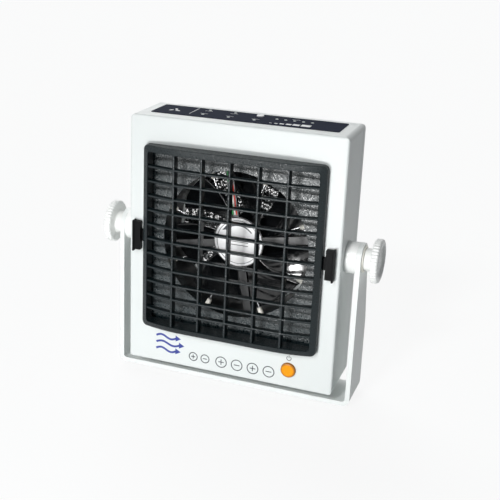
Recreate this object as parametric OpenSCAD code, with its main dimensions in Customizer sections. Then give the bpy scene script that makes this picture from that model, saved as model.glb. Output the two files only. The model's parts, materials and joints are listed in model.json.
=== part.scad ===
// Ionizing fan blower: a box head that tilts in a U-shaped bench stand.
// Inside the head, X runs across, Y back from its front face, and Z up from its underside.

/* [Head housing] */
// Width of the moulded head
head_w = 168; // [164:1:190]
// Height of the moulded head
head_h = 200; // [194:1:220]
// Depth of the head, front face to rear face
head_d = 50; // [48:1:60]
// Corner radius of the head, seen from the front
head_corner_r = 4; // [3:0.5:6]
// Radius along the front and rear edges
edge_r = 1.6; // [1:0.1:2.2]
// Wall thickness of the two shells
wall = 2.5; // [2:0.1:3]
// Depth of the rear cover
cover_d = 8; // [6:0.5:9]
// Radius along the joint between the two shells
seam_r = 0.5; // [0.3:0.1:0.8]
// Radius of the posts that the cover screws go into
post_r = 3.8; // [3.4:0.1:4.2]
// Distance of those posts from the side and end faces
post_inset = 8.5; // [8.3:0.1:9.5]

/* [Fan] */
// Side of the square fan frame
fan_size = 120; // [118:0.5:121]
// Depth of the fan frame
fan_depth = 25; // [24:0.5:27]
// Distance between the fan's screw holes
fan_hole_pitch = 105; // [104:0.5:106]
// Thinnest wall between the fan's air passage and its sides
fan_wall = 2; // [1.8:0.1:5]
// Radius of the fan's hub
hub_r = 20; // [18:0.5:24]
// Number of fan blades
blade_count = 7; // [5:1:9]
// Angle that a blade winds round the hub
blade_wrap = 42; // [30:1:46]
// Clearance between the blade tips and the passage
tip_gap = 1; // [0.6:0.1:1.6]
// Radius of the fan shaft
shaft_r = 1.5; // [1.3:0.1:1.8]

/* [Ion emitters] */
// Number of emitter needles
needle_count = 8; // [4:2:12]
// Reach of a needle's point from the fan's axis
needle_tip_r = 44; // [42:0.5:48]
// Radius of a needle
needle_r = 0.5; // [0.4:0.05:0.7]
// Depth of the ring that holds the needles
ring_d = 7; // [6:0.5:7.5]
// Radial thickness of that ring
ring_t = 7.5; // [6:0.5:8]

/* [Grille] */
// Distance from the grille to each side of the head
grille_side = 13; // [11:0.5:15]
// Distance from the grille to the top of the head
grille_drop = 21; // [18:0.5:23]
// Height of the strip below the grille
strip_h = 32; // [29:0.5:33]
// How far the middle of the grille stands out of the head's face
grille_reach = 12; // [9:0.2:13]
// Radius of the curve at the grille's two sides
crown_r = 118; // [110:1:140]
// Width of the flat middle of the grille's curve
crown_flat = 70; // [60:1:80]
// Width of the bevelled border
border_w = 5.5; // [4.5:0.5:7]
// Rise of the bevelled border
border_rise = 1.5; // [1:0.1:2.6]
// Number of openings across
cell_cols = 6; // [4:1:8]
// Number of openings up and down
cell_rows = 12; // [8:1:14]
// Thickness of a slat
slat_t = 1.6; // [1.2:0.1:2]
// Depth of a slat
slat_d = 5.2; // [3.5:0.1:5.4]
// Thickness of an upright
upright_t = 1.8; // [1.4:0.1:2.4]
// Depth of an upright
upright_d = 7.2; // [6:0.1:7.6]

/* [Stand] */
// Thickness of the stand's sheet steel
sheet_t = 3.5; // [2:0.5:4]
// Outer radius of the stand's two bends
bend_r = 6; // [5:0.5:9]
// Depth of the stand's base, front to back
stand_d = 36; // [30:1:44]
// Gap between the head's side and the arm
arm_gap = 9; // [7:0.5:14]
// Radius of the arm's round end
arm_end_r = 12; // [11:0.5:14]
// Gap between the head's corners and the base as the head tilts
tilt_gap = 2.8; // [1.5:0.1:8]
// Height of the pivot above the head's underside
pivot_z = 106; // [98:0.5:110]
// Distance of the pivot behind the head's front face
pivot_y = 20; // [19:0.5:24]
// Bench screw spacing across the stand
bench_x = 120; // [80:1:150]
// Bench screw spacing, front to back
bench_y = 20; // [16:1:22]
// Radius of the bench screw holes
bench_hole_r = 2.5; // [1.5:0.1:3]
// Height of the rubber pads
pad_h = 1.2; // [1:0.1:3]
// Radius of the rubber pads
pad_r = 5; // [4:0.5:6]

/* [Clamp knobs] */
// Radius of a knob's head
knob_r = 16.5; // [14:0.5:20]
// Length of a knob's head
knob_len = 6; // [5.4:0.2:10]
// Radius of a knob's neck
knob_neck_r = 8.5; // [7:0.5:10]
// Length of a knob's neck
knob_neck_len = 6; // [2:0.2:8]
// Number of grip flutes round a knob
flute_count = 16; // [10:1:20]
// Radius of the knob's screw
stud_r = 3; // [2.5:0.1:3.4]
// Length of screw inside the head
stud_reach = 8; // [6:0.5:9]
// Thickness of the washer under the knob
washer_t = 1; // [0.8:0.1:1.6]

/* [Controls] */
// Radius of the orange power button
power_r = 5.8; // [5:0.1:6.5]
// Power button's distance from the head's centre line
power_x = 49.6; // [40:0.2:54]
// Power button's height above the head's underside
power_z = 15; // [13:0.5:16]
// How far the power button stands out
power_proud = 2; // [1.5:0.1:3]
// Travel of the power button
power_travel = 1.4; // [1:0.1:1.4]
// Width of the top panel's film
panel_w = 146; // [136:1:150]
// Depth of the top panel's film
panel_d = 30; // [28:1:32]
// Thickness of the top panel's film
panel_t = 0.4; // [0.3:0.05:0.6]
// Radius of the white speed button
speed_r = 2.9; // [2.4:0.1:3.2]
// Travel of the speed button
speed_travel = 0.6; // [0.4:0.1:0.7]
// Radius of an indicator's lens
led_r = 1.1; // [0.9:0.1:1.3]
// Width of a grille latch's thumb tab
latch_w = 6.5; // [5:0.5:7]
// Height of a grille latch's thumb tab
latch_h = 23; // [18:1:28]
// How far a latch's tab stands out of the head's face
latch_proud = 5.4; // [4:0.2:7]
// Travel of a latch
latch_travel = 1.6; // [1:0.1:2]

/* [Hidden] */
$fn = 48;

fan_bore_r = fan_size / 2 - fan_wall;
fit = 0.05;         // radial clearance of a pin that turns or of a screw in its hole
slip = 0.2;         // clearance of a piece that drops into its seat
running = 0.4;      // clearance of pieces that pass each other as they turn
half_w = head_w / 2;
grille_w = head_w - 2 * grille_side;
grille_h = head_h - grille_drop - strip_h;
fan_z = strip_h + grille_h / 2;                 // fan's centre above the head's underside
split_y = head_d - cover_d;                     // joint between the two shells
front_y = -(head_d - grille_reach) / 2;         // head's front face in the part's frame
corner_reach = norm([pivot_z, head_d - pivot_y]);
base_gap = corner_reach + tilt_gap - pivot_z;   // from the base to the head's underside
head_z = pad_h + sheet_t + base_gap;            // head's underside in the part's frame
post_x = half_w - post_inset;
post_zs = [post_inset, head_h - post_inset];
screw_r = 1.5;                                  // small self-tapping screws
screw_head_r = 2.8;
screw_head_h = 1.8;

// Places and depths of what stands behind the window
window_w = grille_w - 6;
window_h = grille_h - 6;
plate_t = 2;
plate_y = wall + 4;                             // front of the duct plate
plate_back = plate_y + plate_t;
plate_w = window_w + 20;
plate_h = window_h + 14;
plate_rim = 1.6;
plate_boss_r = 3;
plate_boss_x = plate_w / 2 - plate_boss_r - 0.4;
plate_boss_z = 54;
fan_y = plate_back + ring_d;                    // front of the fan frame
fan_back = fan_y + fan_depth;
socket_r = 2.2;
socket_in = 5;                                  // depth of an emitter's socket inside the ring
socket_out = 5;                                 // stretch of a socket inside the duct
flange_t = 4;
mount_t = 3.5;                                  // motor mount at the fan's front
strut_w = 6;
strut_count = 4;
strut_angle = -10;
channel_w = 4.2;                                // groove for the fan's leads in the top strut
channel_d = 1.4;
fan_screw_r = 2;
fan_post_r = 4;
tube_r = 5.2;                                   // bearing tube
bearing_r = 4;
bearing_h = 4;
cup_y = fan_y + mount_t + running;              // open front end of the rotor's hub
cup_back = fan_back - 0.8;
cup_wall = 1.6;
yoke_t = 1;
magnet_t = 2.2;
stator_r = hub_r - cup_wall - yoke_t - magnet_t - 0.6;
tube_end = cup_back - cup_wall - 1;
stack_y = cup_y + 5;                            // the stator's iron
stack_d = 7;
coil_inset = 2.2;
coil_half = 3.6;
core_half = 2;
blade_t = 2;
blade_margin = 1.2;                             // blades stop short of the hub's ends

// Intake at the rear: a pocket with a foam disc behind a ring guard
pocket_r = fan_bore_r + 3;
pocket_wall = 2;
ledge_t = 1.4;
guard_t = 2.5;
filter_t = 3;
ledge_y = head_d - guard_t - filter_t - ledge_t;
guard_rings = 9;
guard_ring_t = 1.8;
guard_spokes = 8;
guard_spoke_t = 2.4;

// Stand
arm_x = half_w + arm_gap;                       // inner face of the arm
arm_out = arm_x + sheet_t;
stand_y = pivot_y - arm_end_r;                  // front edge of the stand
pivot_height = head_z + pivot_z;
taper_z = 60;                                   // height where the arm's back edge starts to slope
pad_inset = 8;
knob_x = arm_out + washer_t;
head_out = knob_x + knob_neck_len;
insert_r = stud_r + 1.8;
insert_len = 9;
pivot_boss_r = insert_r + 2.6;

// Controls
inlet_x = 53;
inlet_z = 20;
inlet_r = 5.5;
inlet_bore_r = 2.75;
board_t = 1.6;
board_y = fan_y + 13;                           // front face of the control board
board_w = 136;
board_z0 = 5;
board_z1 = fan_z - fan_size / 2 - 4;
board_post_r = 2.6;
board_screw_in = 5.4;
cover_screw_in = 12;
board_hole_x = board_w / 2 - 4;
board_hole_zs = [board_z0 + 5, board_z0 + 16];
switch_side = 12;
switch_y = wall + power_travel + 4.6;
stem_r = 2;
stem_in = 3.5;                                  // stretch of the button's stem inside the switch
flange_r = power_r + 1;
panel_y = 27;                                   // middle of the top panel
led_board_drop = 5;                             // from the head's top face to the board
display_z = head_h - led_board_drop - board_t;
display_w = 120;
display_d = 26;
speed_flange_t = 0.8;
led_xs = [21, 27.8, 34.6, 41.4, 48.2];
level_y = 31;
status_xs = [-34, -13.5, 6.7];
status_y = 20.5;
second_y = 36.5;
speed_x = 6.7;
speed_y = 35.4;
speed_proud = 0.8;

// Grille, built from its own curve
grille_seat = 0.1;                              // air between the grille and the head's face
opening_w = grille_w - 2 * border_w;
opening_h = grille_h - 2 * border_w;
shell_t = 2;
grid_sink = 0.8;                                // slats sit behind the border's edge
grille_corner_r = 4;
lip_t = 1.6;
lip_d = 1.8;
tab_gap = latch_travel + 0.8;                   // from the grille's side to the tab
tongue_h = 10;
tongue_t = 1.2;

// Leads: points chosen by hand, from the fan's centre
lead_pts = [[-3.8, 16.3, 21.5], [-5.3, 16.3, 30], [-7, 16.3, 40], [-8.8, 16.3, 50], [-10.6, 16.3, 60],
    [-11.5, 17, 68], [-12, 18.5, 76]];
lead_r = 0.6;
lead_pitch = 1.3;
fan_plug = [6, 6, 5];
plug_x = -12;
plug_y = 20;
lead_gap = 0.25;                                // between a lead's end and its plug
hv_w = 52;                                      // high-voltage module
hv_h = 30.5;
hv_d = 18;
hv_x = -34;
hv_outlet_r = 2.6;
hv_outlet_h = 1.8;
hv_xs = [-44, -36];                             // the two high-voltage outlets
hv_lead_r = 1.3;

module head_frame() { translate([0, front_y, head_z]) children(); }

// A front-view outline as thick as y0 to y1.
module front_slab(y0, y1) {
  translate([0, y1, 0]) rotate([90, 0, 0]) linear_extrude(y1 - y0) children();
}
// A side-view outline as thick as x0 to x1.
module side_slab(x0, x1) {
  translate([x0, 0, 0]) rotate([90, 0, 90]) linear_extrude(x1 - x0) children();
}
module rod_y(r, y0, y1) { translate([0, y0, 0]) rotate([-90, 0, 0]) cylinder(r = r, h = y1 - y0); }
module rod_x(r, x0, x1) { translate([x0, 0, 0]) rotate([0, 90, 0]) cylinder(r = r, h = x1 - x0); }
module tube_y(r_out, r_in, y0, y1) {
  difference() {
    rod_y(r_out, y0, y1);
    rod_y(r_in, y0 - 1, y1 + 1);
  }
}
module box(x0, x1, y0, y1, z0, z1) { translate([x0, y0, z0]) cube([x1 - x0, y1 - y0, z1 - z0]); }

module round_rect(w, h, r) {
  square([w - 2 * r, h], center = true);
  square([w, h - 2 * r], center = true);
  for (sx = [-1, 1], sz = [-1, 1]) translate([sx * (w / 2 - r), sz * (h / 2 - r)]) circle(r);
}
module at_fan() { translate([0, 0, fan_z]) children(); }
module at_fan_corners() {
  for (sx = [-1, 1], sz = [-1, 1])
    translate([sx * fan_hole_pitch / 2, 0, fan_z + sz * fan_hole_pitch / 2]) children();
}
module at_posts() { for (sx = [-1, 1], z = post_zs) translate([sx * post_x, 0, z]) children(); }
module at_plate_bosses() {
  for (sx = [-1, 1], sz = [-1, 1])
    translate([sx * plate_boss_x, 0, fan_z + sz * plate_boss_z]) children();
}
module at_board_holes() {
  for (sx = [-1, 1], z = board_hole_zs) translate([sx * board_hole_x, 0, z]) children();
}
module to_side(side) { mirror([side < 0 ? 1 : 0, 0, 0]) children(); }
module at_pivot(side) { translate([0, pivot_y, pivot_z]) to_side(side) children(); }

// ---- Stand ----
module u_outline(w, top, r) {
  translate([-w / 2 + r, 0]) square([w - 2 * r, top]);
  translate([-w / 2, r]) square([w, top - r]);
  for (s = [-1, 1]) translate([s * (w / 2 - r), r]) circle(r);
}
module stand_bracket() color("whitesmoke") translate([0, front_y, pad_h]) {
  arm_top = pivot_height - pad_h + arm_end_r;
  difference() {
    intersection() {
      front_slab(stand_y, stand_y + stand_d) difference() {
        u_outline(2 * arm_out, arm_top, bend_r);
        translate([0, sheet_t]) u_outline(2 * arm_x, arm_top, bend_r - sheet_t);
      }
      side_slab(-arm_out - 1, arm_out + 1) union() {
        polygon([[stand_y, 0], [stand_y + stand_d, 0], [stand_y + stand_d, taper_z],
            [pivot_y + arm_end_r, arm_top - arm_end_r], [stand_y, arm_top - arm_end_r]]);
        translate([pivot_y, arm_top - arm_end_r]) circle(arm_end_r);
      }
    }
    translate([0, pivot_y, arm_top - arm_end_r]) rod_x(stud_r + 0.08, -arm_out - 1, arm_out + 1);
    for (sx = [-1, 1], sy = [-1, 1])
      translate([sx * bench_x / 2, stand_y + stand_d / 2 + sy * bench_y / 2, -1])
        cylinder(r = bench_hole_r, h = sheet_t + 2);
  }
}
module stand_pads() color("dimgray") translate([0, front_y, 0])
  for (sx = [-1, 1], y = [stand_y + pad_inset, stand_y + stand_d - pad_inset])
    translate([sx * (arm_out - bend_r - pad_inset), y, 0]) cylinder(r = pad_r, h = pad_h);

// ---- Head shells ----
// The head's outer block between two depths, with its front or rear edges rounded.
module head_block(y0, y1, front_r, rear_r) {
  intersection() {
    front_slab(y0, y1) translate([0, head_h / 2]) round_rect(head_w, head_h, head_corner_r);
    side_slab(-half_w - 1, half_w + 1) edge_outline(y0, y1, 0, head_h, front_r, rear_r);
    rotate([0, 0, 90]) translate([0, -half_w, -1]) linear_extrude(head_h + 2)
      edge_outline(y0, y1, 0, head_w, front_r, rear_r);
  }
}
// A rectangle from (y0, z0) to (y1, z1) with rounds on its low-Y and high-Y ends.
module edge_outline(y0, y1, z0, z1, low_r, high_r) {
  translate([y0 + low_r, z0]) square([y1 - y0 - low_r - high_r, z1 - z0]);
  if (low_r > 0) {
    translate([y0, z0 + low_r]) square([low_r + 0.01, z1 - z0 - 2 * low_r]);
    for (z = [z0 + low_r, z1 - low_r]) translate([y0 + low_r, z]) circle(low_r);
  }
  if (high_r > 0) {
    translate([y1 - high_r - 0.01, z0 + high_r]) square([high_r + 0.01, z1 - z0 - 2 * high_r]);
    for (z = [z0 + high_r, z1 - high_r]) translate([y1 - high_r, z]) circle(high_r);
  }
}
module head_cavity(y0, y1, inset) {
  front_slab(y0, y1) translate([0, head_h / 2])
    round_rect(head_w - 2 * inset, head_h - 2 * inset, max(0.8, head_corner_r - inset));
}
module front_housing() color("whitesmoke") head_frame() difference() {
  union() {
    difference() {
      head_block(0, split_y, edge_r, seam_r);
      head_cavity(wall, split_y + 1, wall);
    }
    at_posts() rod_y(post_r, wall / 2, split_y);
    // webs that tie each post to its side wall
    for (side = [-1, 1], z = post_zs) to_side(side)
      box(post_x, half_w - wall / 2, wall / 2, split_y, z - 0.8, z + 0.8);
    for (side = [-1, 1]) at_pivot(side) rod_x(pivot_boss_r, half_w - wall - insert_len, half_w - wall / 2);
    at_plate_bosses() rod_y(plate_boss_r, wall / 2, plate_y);
    at_board_holes() rod_y(board_post_r, wall / 2, board_y);
  }
  front_slab(-1, wall + 1) translate([0, fan_z]) round_rect(window_w, window_h, grille_corner_r);
  at_posts() rod_y(screw_r + fit, split_y - 14, split_y + 1);
  at_plate_bosses() rod_y(screw_r + fit, wall / 2 + 0.6, plate_y + 1);
  at_board_holes() rod_y(screw_r + fit, board_y - 6, board_y + 1);
  for (side = [-1, 1]) at_pivot(side) {
    rod_x(insert_r + 0.02, half_w - wall - insert_len - 1, half_w - 0.6);
    rod_x(stud_r + 0.15, half_w - 1, half_w + 1);
  }
  translate([power_x, 0, power_z]) rod_y(power_r + slip, -1, wall + 1);
  for (x = led_xs) led_hole(x, level_y);
  for (x = status_xs) led_hole(x, status_y);
  for (x = [status_xs[0], status_xs[1]]) led_hole(x, second_y);
  translate([speed_x, speed_y, head_h - wall - 1]) cylinder(r = speed_r + slip, h = wall + 2);
}
module led_hole(x, y) { translate([x, y, head_h - wall - 1]) cylinder(r = led_r + fit, h = wall + 2); }

module rear_cover() color("gainsboro") head_frame() difference() {
  union() {
    difference() {
      head_block(split_y, head_d, seam_r, edge_r);
      head_cavity(split_y - 1, head_d - wall, wall);
    }
    // lip that drops inside the front shell, with gaps at the posts
    difference() {
      union() {
        head_cavity(split_y - lip_d, split_y + 0.5, wall + slip);
        head_cavity(split_y, split_y + 1.5, wall - 0.3);
      }
      head_cavity(split_y - lip_d - 1, split_y + 2, wall + slip + lip_t);
      at_posts() rod_y(post_r + 0.6, split_y - lip_d - 1, split_y);
      for (side = [-1, 1], z = post_zs) to_side(side)
        box(post_x, half_w, split_y - lip_d - 1, split_y, z - 1.4, z + 1.4);
    }
    at_posts() rod_y(post_r, split_y, head_d - wall / 2);
    at_fan() rod_y(pocket_r + pocket_wall, ledge_y, head_d - wall / 2);
  }
  at_fan() rod_y(pocket_r, ledge_y + ledge_t, head_d + 1);
  at_fan() rod_y(fan_bore_r - 1.5, ledge_y - 1, head_d + 1);
  at_posts() {
    rod_y(screw_r + 0.2, split_y - 1, head_d + 1);
    rod_y(screw_head_r + 0.3, head_d - screw_head_h - 0.4, head_d + 1);
  }
  translate([-inlet_x, 0, inlet_z]) rod_y(inlet_r + fit, split_y, head_d + 1);
}
// A pan-head screw with its head's seat at y and its shank running forwards by len.
module screw_back(y, len, r, head_r, head_h) {
  rod_y(head_r, y, y + head_h);
  rod_y(r, y - len, y + 0.1);
}
module cover_screws() color("silver") head_frame()
  at_posts() screw_back(head_d - screw_head_h - 0.4, cover_d - screw_head_h + cover_screw_in, screw_r,
      screw_head_r, screw_head_h);

// ---- Pivot ----
module pivot_spacers() color("white") head_frame() for (side = [-1, 1]) at_pivot(side) difference() {
  rod_x(arm_end_r, half_w, arm_x);
  rod_x(stud_r + 0.08, half_w - 1, arm_x + 1);
}
module pivot_inserts() color("goldenrod") head_frame() for (side = [-1, 1]) at_pivot(side) difference() {
  rod_x(insert_r, half_w - wall - insert_len, half_w - 0.6);
  rod_x(stud_r + fit, half_w - wall - insert_len - 1, half_w);
}

// ---- Air duct and emitters ----
module duct_plate() color([0.1, 0.1, 0.11]) head_frame() difference() {
  union() {
    front_slab(plate_y, plate_back) translate([0, fan_z]) round_rect(plate_w, plate_h, 4);
    front_slab(wall, plate_y + 0.5) translate([0, fan_z]) difference() {
      round_rect(window_w + 2 + 2 * plate_rim, window_h + 2 + 2 * plate_rim, 4);
      round_rect(window_w + 2, window_h + 2, 3);
    }
    at_fan_corners() rod_y(fan_post_r, plate_back - 0.5, fan_y);
  }
  at_fan() rod_y(fan_bore_r, plate_y - 1, plate_back + 1);
  at_fan_corners() rod_y(fan_screw_r + fit, plate_y + 1, fan_y + 1);
  at_plate_bosses() rod_y(screw_r + fit, plate_y - 1, plate_back + 1);
}
module duct_screws() color("silver") head_frame()
  at_plate_bosses() screw_back(plate_back, plate_back - wall, screw_r, screw_head_r - 0.3, screw_head_h);

module emitter_ring() color([0.13, 0.13, 0.14]) head_frame() at_fan() difference() {
  tube_y(fan_bore_r + ring_t, fan_bore_r, plate_back, fan_y);
  at_needles() rod_x(socket_r, fan_bore_r - 2, fan_bore_r + socket_in);
}
module at_needles() {
  for (k = [0:needle_count - 1]) translate([0, plate_back + ring_d / 2, 0])
    rotate([0, (k + 0.5) * 360 / needle_count, 0]) children();
}
module emitter_sockets() color("ivory") head_frame() at_fan() at_needles() difference() {
  rod_x(socket_r - fit, fan_bore_r - socket_out, fan_bore_r + socket_in);
  rod_x(needle_r + 0.02, fan_bore_r - socket_out - 1, fan_bore_r);
}
module emitter_needles() color("silver") head_frame() at_fan() at_needles() {
  rod_x(needle_r, needle_tip_r + 3, fan_bore_r - 0.2);
  translate([needle_tip_r, 0, 0]) rotate([0, 90, 0]) cylinder(r1 = 0.08, r2 = needle_r, h = 3);
}

// ---- Fan ----
module fan_frame() color([0.08, 0.08, 0.09]) head_frame() difference() {
  union() {
    at_fan() for (y = [fan_y, fan_back - flange_t])
      front_slab(y, y + flange_t) difference() {
        round_rect(fan_size, fan_size, 5);
        circle(fan_bore_r);
      }
    at_fan() tube_y(fan_bore_r + 1.4, fan_bore_r, fan_y, fan_back);
    at_fan_corners() rod_y(fan_post_r, fan_y, fan_back);
    // motor mount: hub, bearing tube and struts
    at_fan() rod_y(tube_r, fan_y, tube_end);
    at_fan() front_slab(fan_y, fan_y + mount_t) {
      circle(hub_r);
      for (k = [0:strut_count - 1]) rotate(k * 360 / strut_count - strut_angle)
        translate([0, -strut_w / 2]) square([fan_bore_r + 1, strut_w]);
    }
  }
  at_fan() rod_y(bearing_r + 0.02, fan_y + 1, tube_end + 1);
  at_fan() rotate([0, strut_angle - 90, 0])
    box(hub_r - 1.5, fan_size, fan_y - 1, fan_y + channel_d, -channel_w / 2, channel_w / 2);
  at_fan_corners() rod_y(fan_screw_r + 0.15, fan_y - 1, fan_back + 1);
}
module fan_label() color("white") head_frame() at_fan() rod_y(hub_r - 0.8, fan_y - 0.4, fan_y);
module fan_bearings() color("silver") head_frame() at_fan()
  for (y = [fan_y + 1.2, tube_end - bearing_h]) tube_y(bearing_r, shaft_r + 0.04, y, y + bearing_h);
// Four poles, each a core with a shoe at the rim; the windings fill the windows beside the cores.
module fan_stator() color("slategray") head_frame() at_fan() difference() {
  tube_y(stator_r, tube_r + fit, stack_y, stack_y + stack_d);
  for (k = [0:3]) rotate([0, 45 + k * 90, 0])
    box(tube_r + 3, hub_r, stack_y - 1, stack_y + stack_d + 1, -0.8, 0.8);
  for (k = [0:3]) rotate([0, k * 90, 0]) difference() {
    box(tube_r + coil_inset, stator_r - coil_inset, stack_y - 1, stack_y + stack_d + 1,
        -coil_half - slip, coil_half + slip);
    box(0, stator_r, stack_y - 2, stack_y + stack_d + 2, -core_half, core_half);
  }
}
module fan_windings() color("peru") head_frame() at_fan()
  for (k = [0:3]) rotate([0, k * 90, 0]) difference() {
    box(tube_r + coil_inset + slip, stator_r - coil_inset - slip, stack_y - 1.4,
        stack_y + stack_d + 1.4, -coil_half, coil_half);
    box(0, stator_r, stack_y - slip / 2, stack_y + stack_d + slip / 2, -core_half - slip / 2,
        core_half + slip / 2);
  }
module fan_driver_board() color("darkgreen") head_frame() at_fan()
  tube_y(stator_r + 1, tube_r + fit, cup_y + 1, cup_y + 2.2);
module fan_screws() color("silver") head_frame()
  at_fan_corners() screw_back(fan_back, fan_depth + ring_d - 0.6, fan_screw_r, 3.4, 2.4);

// Points on a smooth curve through a list of points.
function spline(p, a, b, c, t) = 0.5 * ((2 * a) + (b - p) * t + (2 * p - 5 * a + 4 * b - c) * t * t
    + (3 * a - p - 3 * b + c) * t * t * t);
function smooth(pts, n) = [for (i = [0:len(pts) - 2], k = [0:n - 1])
    spline(pts[max(0, i - 1)], pts[i], pts[i + 1], pts[min(len(pts) - 1, i + 2)], k / n),
    pts[len(pts) - 1]];
function unit(v) = v / norm(v);
// A round lead along points that never run parallel to X.
module lead(pts, r, sides = 8) {
  n = len(pts);
  rings = [for (i = [0:n - 1]) let (t = unit(pts[min(n - 1, i + 1)] - pts[max(0, i - 1)]),
      u = unit(cross([1, 0, 0], t)), v = cross(t, u))
      for (k = [0:sides - 1]) pts[i] + r * (cos(k * 360 / sides) * u + sin(k * 360 / sides) * v)];
  sides_faces = [for (i = [0:n - 2], k = [0:sides - 1]) let (a = i * sides, b = (k + 1) % sides)
      [a + k, a + b, a + sides + b, a + sides + k]];
  caps = [[for (k = [sides - 1:-1:0]) k], [for (k = [0:sides - 1]) (n - 1) * sides + k]];
  polyhedron(rings, concat(sides_faces, caps), convexity = 4);
}
module fan_leads() head_frame() at_fan() {
  plug_end = [plug_x, plug_y, display_z - fan_plug[2] - lead_gap - fan_z];
  for (k = [0:2]) color(["green", "white", "red"][k]) translate([(k - 1) * lead_pitch, 0, 0])
    lead(smooth(concat(lead_pts, [plug_end]), 2), lead_r);
}

module fan_rotor() color([0.07, 0.07, 0.08]) head_frame() at_fan() difference() {
  union() {
    difference() {
      rod_y(hub_r, cup_y, cup_back);
      rod_y(hub_r - cup_wall, cup_y - 1, cup_back - cup_wall);
    }
    rod_y(3.4, tube_end + running, cup_back - 0.5);
    intersection() {
      translate([0, cup_back - blade_margin, 0]) rotate([90, 0, 0])
        linear_extrude(cup_back - cup_y - 2 * blade_margin, twist = blade_wrap, slices = 6, segments = 10)
          for (k = [0:blade_count - 1]) rotate(k * 360 / blade_count) blade_outline();
      tube_y(fan_bore_r - tip_gap, hub_r - cup_wall / 2, cup_y, cup_back);
    }
  }
  rod_y(shaft_r + 0.01, tube_end, cup_back + 1);
}
// A blade's curved footprint, from inside the hub to past the tip.
module blade_outline() {
  sweep_r = 60;
  steps = 4;
  span = [for (i = [0:steps]) hub_r - 1 + i * (fan_bore_r + 1 - hub_r) / steps];
  lean = [for (r = span) sweep_r - sqrt(sweep_r * sweep_r - (r - hub_r) * (r - hub_r))];
  polygon(concat([for (i = [0:steps]) [span[i], lean[i] - blade_t * (0.5 + 0.4 * i / steps)]],
      [for (i = [steps:-1:0]) [span[i], lean[i] + blade_t * (0.5 + 0.4 * i / steps)]]));
}
module rotor_yoke() color("gray") head_frame() at_fan()
  tube_y(hub_r - cup_wall - fit, hub_r - cup_wall - yoke_t, cup_y + 2, cup_back - cup_wall - 0.2);
module rotor_magnet() color([0.25, 0.25, 0.27]) head_frame() at_fan()
  tube_y(hub_r - cup_wall - yoke_t - fit, hub_r - cup_wall - yoke_t - magnet_t, cup_y + 3,
      cup_back - cup_wall - 1);
module fan_shaft() color("silver") head_frame() at_fan() rod_y(shaft_r, fan_y + 1.4, cup_back - 0.1);

// ---- Rear intake ----
module intake_filter() color("dimgray") head_frame() at_fan()
  rod_y(pocket_r - 0.3, ledge_y + ledge_t, head_d - guard_t);
module intake_guard() color("gainsboro") head_frame() at_fan() {
  pitch = (pocket_r - 1) / guard_rings;
  for (k = [1:guard_rings - 1])
    tube_y(k * pitch + guard_ring_t / 2, k * pitch - guard_ring_t / 2, head_d - guard_t, head_d);
  tube_y(pocket_r - slip, pocket_r - 2.6, head_d - guard_t, head_d);
  rod_y(5, head_d - guard_t, head_d);
  for (k = [0:guard_spokes - 1]) rotate([0, k * 360 / guard_spokes, 0])
    box(4, pocket_r - 1, head_d - guard_t, head_d - 0.4, -guard_spoke_t / 2, guard_spoke_t / 2);
}

// ---- Electronics ----
module high_voltage_module() color([0.12, 0.12, 0.13]) head_frame() {
  z0 = board_z0 + 2;
  front_slab(board_y - hv_d, board_y) translate([hv_x, z0 + hv_h / 2]) round_rect(hv_w, hv_h, 2);
  for (x = hv_xs) translate([x, board_y - hv_d / 2, z0 + hv_h]) difference() {
    translate([0, 0, -0.5]) cylinder(r = hv_outlet_r, h = hv_outlet_h + 0.5);
    translate([0, 0, 0.4]) cylinder(r = hv_lead_r + running, h = hv_outlet_h);
  }
}
module high_voltage_leads() color("ivory") head_frame() {
  z0 = board_z0 + 2 + hv_h + 0.5;
  y0 = board_y - hv_d / 2;
  y1 = plate_back + ring_d / 2;
  for (x = hv_xs) {
    z1 = fan_z - sqrt(pow(fan_bore_r + ring_t, 2) - x * x) - 1.4 * hv_lead_r;
    lead(smooth([[x, y0, z0], [x, y0, z0 + 1.2], [x, y0, z0 + 2.4], [x, (y0 + y1) / 2, z0 + 4.6],
        [x, y1, (z0 + 4.6 + z1) / 2], [x, y1, z1]], 3), hv_lead_r);
  }
}
module control_board() color("darkgreen") head_frame() {
  difference() {
    box(-board_w / 2, board_w / 2, board_y, board_y + board_t, board_z0, board_z1);
    at_board_holes() rod_y(screw_r + 0.15, board_y - 1, board_y + board_t + 1);
  }
  // capacitors, coil and heat-sinked regulators on the rear of the board
  for (x = [-14, 2, 18]) translate([x, 0, board_z0 + 14]) rod_y(5, board_y + board_t, board_y + board_t + 9);
  box(30, 46, board_y + board_t, board_y + board_t + 6, board_z0 + 6, board_z0 + 22);
  for (x = [-40, -34, -28])
    box(x, x + 4, board_y + board_t, board_y + board_t + 7, board_z0 + 20, board_z0 + 30);
}
module board_screws() color("silver") head_frame()
  at_board_holes() screw_back(board_y + board_t, board_t + board_screw_in, screw_r, screw_head_r - 0.3, screw_head_h);
module power_switch() color([0.15, 0.15, 0.16]) head_frame() translate([power_x, 0, power_z])
  difference() {
    box(-switch_side / 2, switch_side / 2, switch_y, board_y, -switch_side / 2, switch_side / 2);
    rod_y(stem_r + 0.1, switch_y - 1, switch_y + stem_in + power_travel + 1);
  }
module power_inlet() color([0.1, 0.1, 0.1]) head_frame() translate([-inlet_x, 0, inlet_z]) {
  difference() {
    union() {
      rod_y(inlet_r, split_y - 6, head_d - 0.2);
      box(-7, 7, board_y + board_t, split_y - 5, -7, 7);
    }
    rod_y(inlet_bore_r, head_d - 9.2, head_d + 1);
  }
  rod_y(1, head_d - 9.5, head_d - 1);
}
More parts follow.
